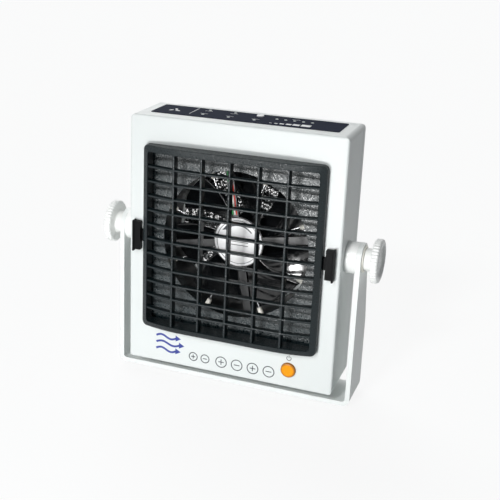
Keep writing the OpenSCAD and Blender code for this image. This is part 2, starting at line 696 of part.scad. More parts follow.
module display_board() color("darkgreen") head_frame() {
  half = display_w / 2;
  box(-half, half, panel_y - display_d / 2, panel_y + display_d / 2, display_z, display_z + board_t);
  // spacers that hang the board from the top wall
  for (sx = [-1, 1], sy = [-1, 1])
    translate([sx * (half - 4), panel_y + sy * (display_d / 2 - 3), display_z])
      cylinder(r = 2, h = head_h - wall - display_z);
  translate([plug_x - fan_plug[0] / 2, plug_y - fan_plug[1] / 2, display_z - fan_plug[2]])
    cube(fan_plug);
}
module speed_switch() color([0.2, 0.2, 0.2]) head_frame()
  box(speed_x - 3, speed_x + 3, speed_y - 3, speed_y + 3, head_h - led_board_drop,
      head_h - wall - speed_flange_t - speed_travel - 0.15);
module indicator_lenses() head_frame() {
  for (x = led_xs) lens(x, level_y);
  for (x = status_xs) lens(x, status_y);
  for (x = [status_xs[0], status_xs[1]]) lens(x, second_y);
}
module lens(x, y) {
  color("palegreen") translate([x, y, head_h - led_board_drop])
    cylinder(r = led_r, h = led_board_drop + panel_t + 0.2);
}
module top_panel() color([0.07, 0.08, 0.13]) head_frame() difference() {
  translate([0, panel_y, head_h]) linear_extrude(panel_t) round_rect(panel_w, panel_d, 1.5);
  for (x = led_xs) led_hole(x, level_y);
  for (x = status_xs) led_hole(x, status_y);
  for (x = [status_xs[0], status_xs[1]]) led_hole(x, second_y);
  translate([speed_x, speed_y, head_h - 1]) cylinder(r = speed_r + slip, h = 3);
}

// ---- Buttons ----
module power_button() color("orange") head_frame() translate([power_x, 0, power_z]) {
  rod_y(power_r, -power_proud, wall + 0.6);
  rod_y(flange_r, wall + 0.4, wall + 2);
  rod_y(stem_r, wall + 1.8, switch_y + stem_in);
}
module speed_button() color("white") head_frame() translate([speed_x, speed_y, 0]) {
  z0 = head_h - wall - 0.1 - speed_flange_t;
  translate([0, 0, z0]) cylinder(r = speed_r, h = head_h + panel_t + speed_proud - z0);
  translate([0, 0, z0]) cylinder(r = speed_r + 0.8, h = speed_flange_t);
}

// ---- Grille ----
// Plan of the grille's front curve: flat in the middle, falling away at both sides.
// Y runs back, and the curve is sunk by the given amount.
module crown_plan(sink) {
  intersection() {
    union() {
      translate([-crown_flat / 2, sink - grille_reach]) square([crown_flat, crown_r]);
      for (s = [-1, 1])
        translate([s * crown_flat / 2, sink - grille_reach + crown_r]) circle(crown_r, $fn = 120);
    }
    translate([-head_w, sink - grille_reach]) square([2 * head_w, grille_reach - sink + 0.01]);
  }
}
module crown_slab(w, h, sink) {
  translate([0, 0, -h / 2]) linear_extrude(h) intersection() {
    crown_plan(sink);
    translate([-w / 2, -grille_reach - 1]) square([w, grille_reach + 2]);
  }
}
// The bevelled block: the border rises from a low outer edge to the opening.
module crown_block(inset) {
  hull() {
    crown_slab(grille_w - 2 * inset, grille_h - 2 * inset, border_rise + inset);
    crown_slab(opening_w - inset, opening_h - inset, inset);
  }
}
module grille_grid() {
  pitch_x = opening_w / cell_cols;
  pitch_z = opening_h / cell_rows;
  for (i = [1:cell_rows - 1])
    translate([0, 0, i * pitch_z - opening_h / 2 - slat_t / 2]) linear_extrude(slat_t) difference() {
      intersection() {
        crown_plan(grid_sink);
        square([opening_w + 2, 4 * crown_r], center = true);
      }
      crown_plan(grid_sink + slat_d);
    }
  for (i = [1:cell_cols - 1]) {
    x = i * pitch_x - opening_w / 2;
    fall = max(0, abs(x) - crown_flat / 2 + upright_t);
    y = grid_sink + 0.3 - grille_reach + crown_r - sqrt(crown_r * crown_r - fall * fall);
    box(x - upright_t / 2, x + upright_t / 2, y, min(y + upright_d, -grille_seat), -opening_h / 2 - 1,
        opening_h / 2 + 1);
  }
}
module front_grille() color([0.09, 0.09, 0.1]) head_frame() at_fan() difference() {
  union() {
    difference() {
      intersection() {
        crown_block(0);
        front_slab(-grille_reach - 1, -grille_seat) round_rect(grille_w, grille_h, grille_corner_r);
      }
      crown_block(shell_t);
      front_slab(-grille_reach - 2, 2) round_rect(opening_w, opening_h, 2);
    }
    grille_grid();
    // inner wall behind the border, and the lip that drops into the window
    intersection() {
      front_slab(-grille_reach, -grille_seat) lip_outline();
      crown_block(shell_t / 2);
    }
    front_slab(-grille_seat - 0.5, lip_d) lip_outline();
  }
  // slots for the latches' tongues
  for (side = [-1, 1]) to_side(side)
    box(window_w / 2 - 6, grille_w / 2 + 1, -tongue_t - 0.4, lip_d + 1, -tongue_h / 2 - slip,
        tongue_h / 2 + slip);
}
module lip_outline() difference() {
  round_rect(window_w - 2 * slip, window_h - 2 * slip, grille_corner_r - slip);
  round_rect(window_w - 2 * slip - 2 * lip_t, window_h - 2 * slip - 2 * lip_t, 2);
}
// A thumb tab beside the grille, with a raised outer lip and a tongue under the grille's edge.
module latch(side) color([0.09, 0.09, 0.1]) head_frame() at_fan() to_side(side) {
  x0 = grille_w / 2 + tab_gap;
  difference() {
    box(x0, x0 + latch_w, -latch_proud + 1, -0.2, -latch_h / 2, latch_h / 2);
    translate([x0 + latch_w / 2 - 0.6, -latch_proud - 4, -latch_h]) cylinder(r = 4.4, h = 2 * latch_h);
  }
  box(x0 + latch_w - 1.4, x0 + latch_w, -latch_proud, -0.2, -latch_h / 2 - 1.2, latch_h / 2 + 0.6);
  box(grille_w / 2 - 1.6 - latch_travel, x0 + 1, -0.2 - tongue_t, -0.2, -tongue_h / 2, tongue_h / 2);
}
module grille_latch_left() { latch(-1); }
module grille_latch_right() { latch(1); }

// ---- Clamp knobs ----
module clamp_knob(side) color("white") head_frame() at_pivot(side) difference() {
  union() {
    rod_x(knob_neck_r, knob_x, head_out + 0.5);
    difference() {
      rod_x(knob_r, head_out, head_out + knob_len);
      for (k = [0:flute_count - 1]) rotate([k * 360 / flute_count, 0, 0])
        translate([0, knob_r + 0.9, 0]) rod_x(1.7, head_out - 1, head_out + knob_len + 1);
    }
  }
  rod_x(knob_r - 4.5, head_out + knob_len - 1.6, head_out + knob_len + 1);
  rod_x(stud_r + 0.01, knob_x - 1, head_out + knob_len - 3);
}
module clamp_stud(side) color("silver") head_frame() at_pivot(side)
  rod_x(stud_r, half_w - stud_reach, head_out + knob_len - 3.2);
module clamp_washer(side) color("lightgray") head_frame() at_pivot(side) difference() {
  rod_x(knob_neck_r + 1.5, arm_out, knob_x);
  rod_x(stud_r + 0.15, arm_out - 1, knob_x + 1);
}
module clamp_knob_left() { clamp_knob(-1); }
module clamp_knob_right() { clamp_knob(1); }
module clamp_stud_left() { clamp_stud(-1); }
module clamp_stud_right() { clamp_stud(1); }
module clamp_washer_left() { clamp_washer(-1); }
module clamp_washer_right() { clamp_washer(1); }

stand_bracket();
stand_pads();
front_housing();
rear_cover();
cover_screws();
pivot_spacers();
pivot_inserts();
duct_plate();
duct_screws();
emitter_ring();
emitter_sockets();
emitter_needles();
fan_frame();
fan_label();
fan_bearings();
fan_stator();
fan_windings();
fan_driver_board();
fan_screws();
fan_leads();
intake_filter();
intake_guard();
high_voltage_module();
high_voltage_leads();
control_board();
board_screws();
power_switch();
power_inlet();
display_board();
speed_switch();
indicator_lenses();
top_panel();
fan_rotor();
rotor_yoke();
rotor_magnet();
fan_shaft();
front_grille();
grille_latch_left();
grille_latch_right();
power_button();
speed_button();
clamp_knob_left();
clamp_stud_left();
clamp_washer_left();
clamp_knob_right();
clamp_stud_right();
clamp_washer_right();
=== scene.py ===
import json
import math

import bmesh
import bpy
from mathutils import Matrix, Vector

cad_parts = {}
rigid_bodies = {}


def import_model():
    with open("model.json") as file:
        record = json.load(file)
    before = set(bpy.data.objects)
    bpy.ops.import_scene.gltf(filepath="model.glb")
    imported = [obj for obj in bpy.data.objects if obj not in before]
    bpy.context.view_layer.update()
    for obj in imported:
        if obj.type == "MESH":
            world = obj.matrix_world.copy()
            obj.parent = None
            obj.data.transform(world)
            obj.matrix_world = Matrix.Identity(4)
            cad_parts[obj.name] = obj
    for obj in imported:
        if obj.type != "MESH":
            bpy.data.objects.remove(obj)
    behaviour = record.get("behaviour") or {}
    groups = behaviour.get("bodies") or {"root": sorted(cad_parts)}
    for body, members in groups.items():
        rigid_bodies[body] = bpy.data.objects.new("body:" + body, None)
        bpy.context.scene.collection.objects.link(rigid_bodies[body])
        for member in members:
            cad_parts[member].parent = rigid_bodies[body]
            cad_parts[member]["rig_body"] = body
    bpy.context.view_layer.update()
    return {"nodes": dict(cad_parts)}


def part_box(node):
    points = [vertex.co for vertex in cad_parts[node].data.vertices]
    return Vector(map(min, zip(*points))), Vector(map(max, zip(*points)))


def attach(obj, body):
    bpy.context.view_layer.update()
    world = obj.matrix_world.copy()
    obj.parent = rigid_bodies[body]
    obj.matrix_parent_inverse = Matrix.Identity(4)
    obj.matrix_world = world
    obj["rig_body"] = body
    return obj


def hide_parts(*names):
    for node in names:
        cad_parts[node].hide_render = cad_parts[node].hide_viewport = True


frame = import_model()
cad = frame["nodes"]
scene = bpy.context.scene

# ---- Camera ----
# A long lens a little above the blower and to its right, as on a product table.
azimuth, elevation, roll = math.radians(21.31), math.radians(18.3), math.radians(1.56)
distance = 0.7614
aim = Vector((-0.0337, 0.001, 0.1287))
back = Vector((math.sin(azimuth) * math.cos(elevation), -math.cos(azimuth) * math.cos(elevation),
               math.sin(elevation)))
level = Vector((0, 0, 1)).cross(back).normalized()
upright = back.cross(level)
across = math.cos(roll) * level + math.sin(roll) * upright
upward = math.cos(roll) * upright - math.sin(roll) * level
lens = bpy.data.cameras.new("table_camera")
lens.sensor_width = 36
lens.lens = 70.6
lens.shift_x = 0.10
lens.shift_y = -0.06
lens.clip_start = 0.01
camera = bpy.data.objects.new("table_camera", lens)
camera.matrix_world = (Matrix.Translation(aim + back * distance)
                       @ Matrix((across, upward, back)).transposed().to_4x4())
scene.collection.objects.link(camera)
scene.camera = camera
scene.view_settings.view_transform = "Standard"


# ---- Table and studio ----
# A pale paper sweep. One lamp shines from the front and above, a broad one from behind on the left,
# and a softbox and a card low in front bring out the black grille. Even light comes from all
# round. The paper shows white and keeps the blower's shadow.
def colour(code):
    """An sRGB hex value as linear red, green, blue and alpha."""
    parts = [int(code[i:i + 2], 16) / 255 for i in (1, 3, 5)]
    return [c / 12.92 if c <= 0.04045 else ((c + 0.055) / 1.055) ** 2.4 for c in parts] + [1]


def feed(node, inputs):
    """Fills a node's inputs: a number, a colour, a node's socket, or a node for its first output."""
    for key, value in inputs.items():
        if isinstance(value, bpy.types.Node):
            value = value.outputs[0]
        if isinstance(value, bpy.types.NodeSocket):
            node.id_data.links.new(value, node.inputs[key])
        else:
            node.inputs[key].default_value = value


def put(tree, kind, inputs=None, **settings):
    """Adds a node with its settings and what feeds its inputs."""
    made = tree.nodes.new(kind)
    for key, value in settings.items():
        setattr(made, key, value)
    feed(made, inputs or {})
    return made


def sees_white(tree):
    """1 for rays that see the paper and the room as white: from the camera, off gloss or through plastic."""
    rays = put(tree, "ShaderNodeLightPath").outputs
    seen = put(tree, "ShaderNodeMath", {0: rays["Is Camera Ray"], 1: rays["Is Glossy Ray"]},
               operation="MAXIMUM")
    return put(tree, "ShaderNodeMath", {0: seen, 1: rays["Is Transmission Ray"]}, operation="MAXIMUM")


def new_piece(name, build):
    """An object at the origin, whose mesh is what build(bm) draws in metres."""
    mesh = bpy.data.meshes.new(name)
    bm = bmesh.new()
    build(bm)
    bm.to_mesh(mesh)
    bm.free()
    piece = bpy.data.objects.new(name, mesh)
    scene.collection.objects.link(piece)
    return piece


def paper_sheet(bm):
    reach = 4
    corners = [(-reach, -reach), (reach, -reach), (reach, reach), (-reach, reach)]
    bm.faces.new([bm.verts.new((x, y, -0.0002)) for x, y in corners])


table = new_piece("paper_sweep", paper_sheet)
# matt paper: no gloss, so the blower stands on a soft shadow and no mirror image
paper = bpy.data.materials.new("matt_backdrop_paper")
paper.use_nodes = True
tree = paper.node_tree
tree.nodes.clear()
seen = sees_white(tree)
unseen = put(tree, "ShaderNodeMath", {0: 1.0, 1: seen}, operation="SUBTRACT")
share = put(tree, "ShaderNodeMath", {0: seen, 1: 0.8}, operation="MULTIPLY")
# painted shade: the paper's own colour darkens away from the blower, as if it were lit only round the blower
# and the room beyond were dim; rays from the camera, off gloss or through plastic don't get it
place = put(tree, "ShaderNodeTexCoord").outputs["Object"]
out = put(tree, "ShaderNodeVectorMath", {0: place}, operation="LENGTH")
painted_dimming = put(tree, "ShaderNodeMapRange", {"Value": out.outputs[1], "From Min": 0.25, "From Max": 0.9},
          interpolation_type="SMOOTHSTEP")
painted_dimming = put(tree, "ShaderNodeMath", {0: painted_dimming, 1: unseen}, operation="MULTIPLY")
tone = put(tree, "ShaderNodeMix", {0: painted_dimming, 6: colour("#C6CACA"), 7: colour("#6A6D70")}, data_type="RGBA")
matt = put(tree, "ShaderNodeBsdfDiffuse", {"Color": tone.outputs[2]})
white = put(tree, "ShaderNodeEmission", {"Color": (1, 1, 1, 1), "Strength": 1.11})
mixed = put(tree, "ShaderNodeMixShader", {0: share, 1: matt, 2: white})
put(tree, "ShaderNodeOutputMaterial", {"Surface": mixed})
table.data.materials.append(paper)

world = bpy.data.worlds.new("studio_light")
world.use_nodes = True
tree = world.node_tree
tree.nodes.clear()
even = put(tree, "ShaderNodeBackground", {"Color": colour("#E9EEF2"), "Strength": 0.15})
white = put(tree, "ShaderNodeBackground", {"Color": (1, 1, 1, 1), "Strength": 1.0})
mixed = put(tree, "ShaderNodeMixShader", {0: sees_white(tree), 1: even, 2: white})
put(tree, "ShaderNodeOutputWorld", {"Surface": mixed})
scene.world = world

for name, strength, spread, source in (("key_lamp", 1.16, 9, (-0.16, -0.82, 0.55)),
                                       ("rear_lamp", 1.45, 50, (-0.50, 0.62, 0.60))):
    lamp = bpy.data.lights.new(name, "SUN")
    lamp.energy = strength
    lamp.angle = math.radians(spread)
    holder = bpy.data.objects.new(name, lamp)
    holder.rotation_euler = Vector(source).to_track_quat("Z", "Y").to_euler()
    scene.collection.objects.link(holder)
for name, wide, high, power, source, target in (
        ("low_softbox", 0.34, 0.22, 0.7, (-0.06, -0.80, 0.12), (0, 0, 0.12)),
        ("table_card", 0.18, 0.10, 2.1, (-0.06, -0.52, 0.02), (0.03, -0.03, 0.15))):
    lamp = bpy.data.lights.new(name, "AREA")
    lamp.shape = "RECTANGLE"
    lamp.size = wide
    lamp.size_y = high
    lamp.energy = power
    holder = bpy.data.objects.new(name, lamp)
    holder.location = source
    holder.rotation_euler = (Vector(source) - Vector(target)).to_track_quat("Z", "Y").to_euler()
    holder.visible_camera = False
    scene.collection.objects.link(holder)


# ---- Housing ----
# Two moulded ABS shells, the front one a deep box and the rear one its cover, pressed together
# and held by four long screws. The skin is a fine satin spark texture.
def new_finish(name):
    """Starts a material: gives it, its tree, its shader, and the place on the object in metres."""
    made = bpy.data.materials.new(name)
    made.use_nodes = True
    tree = made.node_tree
    return made, tree, tree.nodes["Principled BSDF"], put(tree, "ShaderNodeTexCoord").outputs["Object"]


def moulded(name, base, tint, rough, grain, relief, coat=0.0, shine=0.5, glint=0.07):
    """Injection-moulded plastic. Grain is in millimetres, drawn coarser than the real 0.1 to 0.3 so
    that it shows, and relief is in micrometres. Glint is how far the roughness changes from grain to
    grain, and the colour drifts between base and tint over 70 mm patches."""
    made, tree, shader, place = new_finish(name)
    cloud = put(tree, "ShaderNodeTexNoise", {"Vector": place, "Scale": 14, "Detail": 3})
    shade = put(tree, "ShaderNodeMix", {0: cloud, 6: colour(base), 7: colour(tint)}, data_type="RGBA")
    skin = put(tree, "ShaderNodeTexNoise", {"Vector": place, "Scale": 1000 / grain, "Detail": 2})
    gloss = put(tree, "ShaderNodeMapRange", {"Value": skin, "From Min": 0.3, "From Max": 0.7,
                                             "To Min": rough - glint, "To Max": rough + glint})
    bump = put(tree, "ShaderNodeBump", {"Height": skin, "Distance": relief * 1e-6, "Strength": 1.0})
    feed(shader, {"Base Color": shade.outputs[2], "Roughness": gloss, "Normal": bump, "IOR": 1.53,
                  "Coat Weight": coat, "Specular IOR Level": shine})
    return made


def wear(material, *names):
    """Gives CAD nodes, or pieces, a material."""
    for name in names:
        item = cad[name] if isinstance(name, str) else name
        if item.material_slots:
            for slot in item.material_slots:
                slot.material = material
        else:
            item.data.materials.append(material)


# satin white with a faint grain, which spreads the lamps into broad soft highlights
housing_abs = moulded("white_moulded_abs", "#E3E7E6", "#DDE2E1", 0.42, 0.7, 24)
wear(housing_abs, "front_housing", "rear_cover")


# ---- Stand ----
# One strip of 3.5 mm steel sheet bent to a U and powder coated white, with its cut edges eased.
# Four black rubber feet are stuck under it.
def softened(node, width, name):
    """A copy of a CAD solid with its facets joined and its sharp edges rounded by width, in millimetres."""
    mesh = cad[node].data.copy()
    mesh.name = name
    if "custom_normal" in mesh.attributes:
        mesh.attributes.remove(mesh.attributes["custom_normal"])
    bm = bmesh.new()
    bm.from_mesh(mesh)
    bmesh.ops.remove_doubles(bm, verts=bm.verts, dist=2e-6)
    bmesh.ops.dissolve_limit(bm, angle_limit=math.radians(0.6), verts=bm.verts, edges=bm.edges)
    bm.to_mesh(mesh)
    bm.free()
    piece = bpy.data.objects.new(name, mesh)
    scene.collection.objects.link(piece)
    finish_edges(piece, width)
    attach(piece, cad[node]["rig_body"])
    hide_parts(node)
    return piece


def finish_edges(piece, width, angle=35):
    """Rounds the sharp edges by width, in millimetres, and shades the rest smooth."""
    piece.data.polygons.foreach_set("use_smooth", [True] * len(piece.data.polygons))
    piece.data.set_sharp_from_angle(angle=math.radians(angle))
    if width:
        bevel = piece.modifiers.new("eased_edges", "BEVEL")
        bevel.width = width / 1000
        bevel.segments = 3
        bevel.limit_method = "ANGLE"
        bevel.angle_limit = math.radians(angle)
        bevel.harden_normals = True
        bevel.use_clamp_overlap = True


# powder coat flows as it is baked: satin white with an orange peel of 1.4 mm, and no bare edge
powder, tree, shader, place = new_finish("white_powder_coat")
peel = put(tree, "ShaderNodeTexNoise", {"Vector": place, "Scale": 700, "Detail": 1})
bump = put(tree, "ShaderNodeBump", {"Height": peel, "Distance": 0.00006})
cloud = put(tree, "ShaderNodeTexNoise", {"Vector": place, "Scale": 9, "Detail": 3})
shade = put(tree, "ShaderNodeMix", {0: cloud, 6: colour("#EFF2F1"), 7: colour("#E7EBE9")}, data_type="RGBA")
feed(shader, {"Base Color": shade.outputs[2], "Normal": bump, "Roughness": 0.38})
wear(powder, softened("stand_bracket", 0.5, "stand_bent_sheet"))
# dull dark rubber that catches almost no light
wear(moulded("black_rubber_feet", "#202224", "#2A2C2E", 0.75, 0.6, 30), "stand_pads")


# ---- Front grille ----
# A black ABS moulding that snaps over the window: a bevelled border on a box rim, with slats and
# uprights inside. All of it bows forwards, flat in the middle and falling away to both sides.
shell_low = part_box("front_housing")[0]
grille_low, grille_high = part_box("front_grille")
label_low, label_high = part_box("fan_label")
centre = (label_low + label_high) / 2          # the fan's axis, at its label


def at_face(x, depth, z):
    """A place from the fan's axis and the housing's front face, in millimetres."""
    return Vector((x / 1000, shell_low.y + depth / 1000, centre.z + z / 1000))


def bridge(bm, loops, wrap=False):
    """Joins closed loops of points, each to the next, with quads, and closes both ends or wraps round."""
    rings = [[bm.verts.new(point) for point in loop] for loop in loops]
    for first, second in zip(rings, rings[1:] + rings[:1] if wrap else rings[1:]):
        for k in range(len(first)):
            j = (k + 1) % len(first)
            bm.faces.new((first[k], first[j], second[j], second[k]))
    if not wrap:
        bm.faces.new(rings[0][::-1])
        bm.faces.new(rings[-1])
    bmesh.ops.recalc_face_normals(bm, faces=bm.faces)


grille_w = (grille_high.x - grille_low.x) * 1000
grille_h = (grille_high.z - grille_low.z) * 1000
reach = (shell_low.y - grille_low.y) * 1000
crown_r, crown_flat = 118, 70                  # the bow's radius, and the flat in its middle
border_w, border_rise, border_r, inner_r = 4.8, 1.5, 4, 2
open_w, open_h = grille_w - 2 * border_w, grille_h - 2 * border_w
seat, lip_depth, lip_t, lip_r, skin_t = 0.1, 1.8, 1.6, 3.8, 2.2
lip_w, lip_h = grille_w - 6.4, grille_h - 6.4  # the lip drops into the window with 0.2 mm all round


def fall(x):
    """How far the bow lies behind its middle at x."""
    past = max(0, abs(x) - crown_flat / 2)
    return crown_r - math.sqrt(crown_r ** 2 - past ** 2)


def rounded_loop(w, h, r, across=40, along=16, turn=5):
    """Points round a rectangle with rounded corners, as (x, z)."""
    corners = []
    for sx, sz, start in ((1, 1, 0), (-1, 1, 90), (-1, -1, 180), (1, -1, 270)):
        corners.append([(sx * (w / 2 - r) + r * math.cos(a), sz * (h / 2 - r) + r * math.sin(a))
                        for a in (math.radians(start + 90 * k / turn) for k in range(turn + 1))])
    points = []
    for index, corner in enumerate(corners):
        (x0, z0), (x1, z1) = corner[-1], corners[(index + 1) % 4][0]
        count = (across, along)[index % 2]
        points += corner
        points += [(x0 + (x1 - x0) * k / count, z0 + (z1 - z0) * k / count) for k in range(1, count)]
    return points


def border_frame(bm):
    slope = border_rise / border_w
    stations = [  # inset from the outside, rise from the bow at the border's outer edge, or a plain depth
        (0, None, -seat), (0, -1.1, None), (0.15, -0.55, None), (0.5, -0.15, None),
        (1.1, 0.25 * slope, None), (border_w - 0.9, border_rise - 0.9 * slope, None),
        (border_w - 0.3, border_rise - 0.12, None), (border_w - 0.05, border_rise - 0.4, None),
        (border_w, border_rise - 0.8, None), (border_w, border_rise - 2, None),
        (border_w, border_rise - skin_t, None)]
    loops = []
    for inset, rise, depth in stations:
        r = border_r + (inner_r - border_r) * inset / border_w
        outline = rounded_loop(grille_w - 2 * inset, grille_h - 2 * inset, r)
        loops.append([at_face(x, depth if rise is None else -(reach - fall(x) - border_rise + rise), z)
                      for x, z in outline])
    inside = rounded_loop(lip_w - 2 * lip_t, lip_h - 2 * lip_t, lip_r - 1.2)
    outside = rounded_loop(lip_w, lip_h, lip_r)
    loops.append([at_face(x, -(reach - fall(x) - skin_t), z) for x, z in inside])
    for outline, depth in ((inside, lip_depth), (outside, lip_depth), (outside, -seat)):
        loops.append([at_face(x, depth, z) for x, z in outline])
    bridge(bm, loops, wrap=True)


def bowed(tree, offset):
    """Lays every point's Y on the bow: takes the bow at its own X and adds offset, in metres."""
    split = put(tree, "ShaderNodeSeparateXYZ", {0: put(tree, "GeometryNodeInputPosition")})
    size = put(tree, "ShaderNodeMath", {0: split}, operation="ABSOLUTE")
    past = put(tree, "ShaderNodeMath", {0: size, 1: crown_flat / 2000}, operation="SUBTRACT")
    past = put(tree, "ShaderNodeMath", {0: past, 1: 0.0}, operation="MAXIMUM")
    square = put(tree, "ShaderNodeMath", {0: past, 1: 2.0}, operation="POWER")
    rest = put(tree, "ShaderNodeMath", {0: (crown_r / 1000) ** 2, 1: square}, operation="SUBTRACT")
    root = put(tree, "ShaderNodeMath", {0: rest, 1: 0.5}, operation="POWER")
    drop = put(tree, "ShaderNodeMath", {0: crown_r / 1000, 1: root}, operation="SUBTRACT")
    total = put(tree, "ShaderNodeMath", {0: drop, 1: offset}, operation="ADD")
    return put(tree, "ShaderNodeCombineXYZ", {"X": split, "Y": total, "Z": split.outputs["Z"]})


def new_tree(name, **sizes):
    """A geometry tree with a geometry in and out and named inputs: it, its inputs and its end."""
    tree = bpy.data.node_groups.new(name, "GeometryNodeTree")
    tree.interface.new_socket("Geometry", in_out="INPUT", socket_type="NodeSocketGeometry")
    for key, value in sizes.items():
        kind = {int: "NodeSocketInt", float: "NodeSocketFloat", Vector: "NodeSocketVector",
                bpy.types.Material: "NodeSocketMaterial"}[type(value)]
        tree.interface.new_socket(key, in_out="INPUT", socket_type=kind)
    tree.interface.new_socket("Geometry", in_out="OUTPUT", socket_type="NodeSocketGeometry")
    start = put(tree, "NodeGroupInput").outputs
    return tree, start, put(tree, "NodeGroupOutput")


def close_tree(tree, start, end, shape):
    """Ends a geometry tree: its copies become plain mesh in the material that came in as Finish."""
    plain = put(tree, "GeometryNodeRealizeInstances", {0: shape})
    feed(end, {0: put(tree, "GeometryNodeSetMaterial", {0: plain, "Material": start["Finish"]})})


def rounded_bar(tree, wide, deep, turn, r):
    """The outline of a bar with rounded corners, to be swept along a line."""
    bar = put(tree, "GeometryNodeCurvePrimitiveQuadrilateral", {"Width": wide, "Height": deep})
    return put(tree, "GeometryNodeFilletCurve", {"Curve": bar, "Count": turn, "Radius": r}, mode="POLY")


def grown(piece, tree, **sizes):
    """Runs a geometry tree on a piece and keeps the result as its plain mesh."""
    run = piece.modifiers.new(tree.name, "NODES")
    run.node_group = tree
    for item in tree.interface.items_tree:
        if item.in_out == "INPUT" and item.name in sizes:
            run[item.identifier] = sizes[item.name]
    bpy.context.view_layer.update()
    solid = bpy.data.meshes.new_from_object(piece.evaluated_get(bpy.context.evaluated_depsgraph_get()))
    piece.modifiers.remove(run)
    piece.data = solid
    solid.name = piece.name


# black with a green cast: the spark texture's grains differ in gloss, so it glitters where it is lit
grille_abs = moulded("black_spark_textured_abs", "#050F12", "#0A1A1E", 0.38, 1.0, 180, shine=0.35,
                     glint=0.2)
overlap = 0.001                                # the slats' ends run this far into the border, in metres
sizes = dict(Width=open_w / 1000 + overlap, Height=open_h / 1000, Rows=12, Columns=6, Slat=0.0016,
             Slat_Depth=0.0052, Upright=0.0018, Upright_Depth=0.0072, Front=0.0008 - reach / 1000,
             Finish=grille_abs)
tree, start, end = new_tree("louvre_grid", **sizes)
# slats: a level line laid on the bow and swept with a rounded bar, one for each row
half = put(tree, "ShaderNodeMath", {0: start["Width"], 1: 0.5}, operation="MULTIPLY")
left = put(tree, "ShaderNodeMath", {0: half, 1: -1.0}, operation="MULTIPLY")
line = put(tree, "GeometryNodeCurvePrimitiveLine", {"Start": put(tree, "ShaderNodeCombineXYZ", {"X": left}),
                                                    "End": put(tree, "ShaderNodeCombineXYZ", {"X": half})})
line = put(tree, "GeometryNodeResampleCurve", {"Curve": line, "Count": 61})
middle = put(tree, "ShaderNodeMath", {0: start["Slat_Depth"], 1: 0.5}, operation="MULTIPLY")
middle = put(tree, "ShaderNodeMath", {0: middle, 1: start["Front"]}, operation="ADD")
line = put(tree, "GeometryNodeSetPosition", {"Geometry": line, "Position": bowed(tree, middle)})
line = put(tree, "GeometryNodeSetCurveNormal", {0: line}, mode="Z_UP")
bar = rounded_bar(tree, start["Slat_Depth"], start["Slat"], 3, 0.0006)
slat = put(tree, "GeometryNodeCurveToMesh", {"Curve": line, "Profile Curve": bar, "Fill Caps": True})
rows = put(tree, "ShaderNodeMath", {0: start["Rows"], 1: 1.0}, operation="SUBTRACT")
step = put(tree, "ShaderNodeMath", {0: start["Height"], 1: start["Rows"]}, operation="DIVIDE")
foot = put(tree, "ShaderNodeMath", {0: start["Height"], 1: -0.5}, operation="MULTIPLY")
first = put(tree, "ShaderNodeMath", {0: foot, 1: step}, operation="ADD")
first = put(tree, "ShaderNodeCombineXYZ", {"Z": first})
step = put(tree, "ShaderNodeCombineXYZ", {"Z": step})
ladder = put(tree, "GeometryNodeMeshLine", {"Count": rows, "Start Location": first, "Offset": step})
slats = put(tree, "GeometryNodeInstanceOnPoints", {"Points": ladder, "Instance": slat})
# uprights: a straight bar from bottom to top, set back to the bow at its own place
top = put(tree, "ShaderNodeMath", {0: foot, 1: -1.0}, operation="MULTIPLY")
post = put(tree, "GeometryNodeCurvePrimitiveLine", {"Start": put(tree, "ShaderNodeCombineXYZ", {"Z": foot}),
                                                    "End": put(tree, "ShaderNodeCombineXYZ", {"Z": top})})
bar = rounded_bar(tree, start["Upright"], start["Upright_Depth"], 3, 0.0006)
post = put(tree, "GeometryNodeCurveToMesh", {"Curve": post, "Profile Curve": bar, "Fill Caps": True})
gaps = put(tree, "ShaderNodeMath", {0: start["Columns"], 1: 1.0}, operation="SUBTRACT")
wide = put(tree, "ShaderNodeMath", {0: start["Width"], 1: -overlap}, operation="ADD")
stride = put(tree, "ShaderNodeMath", {0: wide, 1: start["Columns"]}, operation="DIVIDE")
edge = put(tree, "ShaderNodeMath", {0: wide, 1: -0.5}, operation="MULTIPLY")
first = put(tree, "ShaderNodeMath", {0: edge, 1: stride}, operation="ADD")
first = put(tree, "ShaderNodeCombineXYZ", {"X": first})
stride = put(tree, "ShaderNodeCombineXYZ", {"X": stride})
fence = put(tree, "GeometryNodeMeshLine", {"Count": gaps, "Start Location": first, "Offset": stride})
inner = put(tree, "ShaderNodeMath", {0: start["Upright_Depth"], 1: 0.5}, operation="MULTIPLY")
inner = put(tree, "ShaderNodeMath", {0: inner, 1: start["Front"]}, operation="ADD")
# the uprights' fronts lie 0.3 mm behind the slats'
inner = put(tree, "ShaderNodeMath", {0: inner, 1: 0.0003}, operation="ADD")
fence = put(tree, "GeometryNodeSetPosition", {"Geometry": fence, "Position": bowed(tree, inner)})
uprights = put(tree, "GeometryNodeInstanceOnPoints", {"Points": fence, "Instance": post})
joined = put(tree, "GeometryNodeJoinGeometry")
for part in (slats, uprights):
    feed(joined, {0: part})
close_tree(tree, start, end, joined)

louvres = new_piece("grille_louvres", lambda bm: None)
grown(louvres, tree, **sizes)
louvres.data.transform(Matrix.Translation(at_face(0, 0, 0)))
finish_edges(louvres, 0)
border = new_piece("grille_border", border_frame)
wear(grille_abs, border)
finish_edges(border, 0, angle=50)
for piece in (louvres, border):
    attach(piece, "grille")
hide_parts("front_grille")


# ---- Grille latches ----
# Two thumb tabs beside the grille, each with a raised outer lip and a tongue behind the border that
# holds it down. They are moulded in a duller black ABS, so they read darker than the grille.
latch_abs = moulded("black_latch_abs", "#050607", "#0A0B0D", 0.5, 1.0, 30, shine=0.08)
for side in ("left", "right"):
    wear(latch_abs, softened("grille_latch_" + side, 0.45, "latch_tab_" + side))


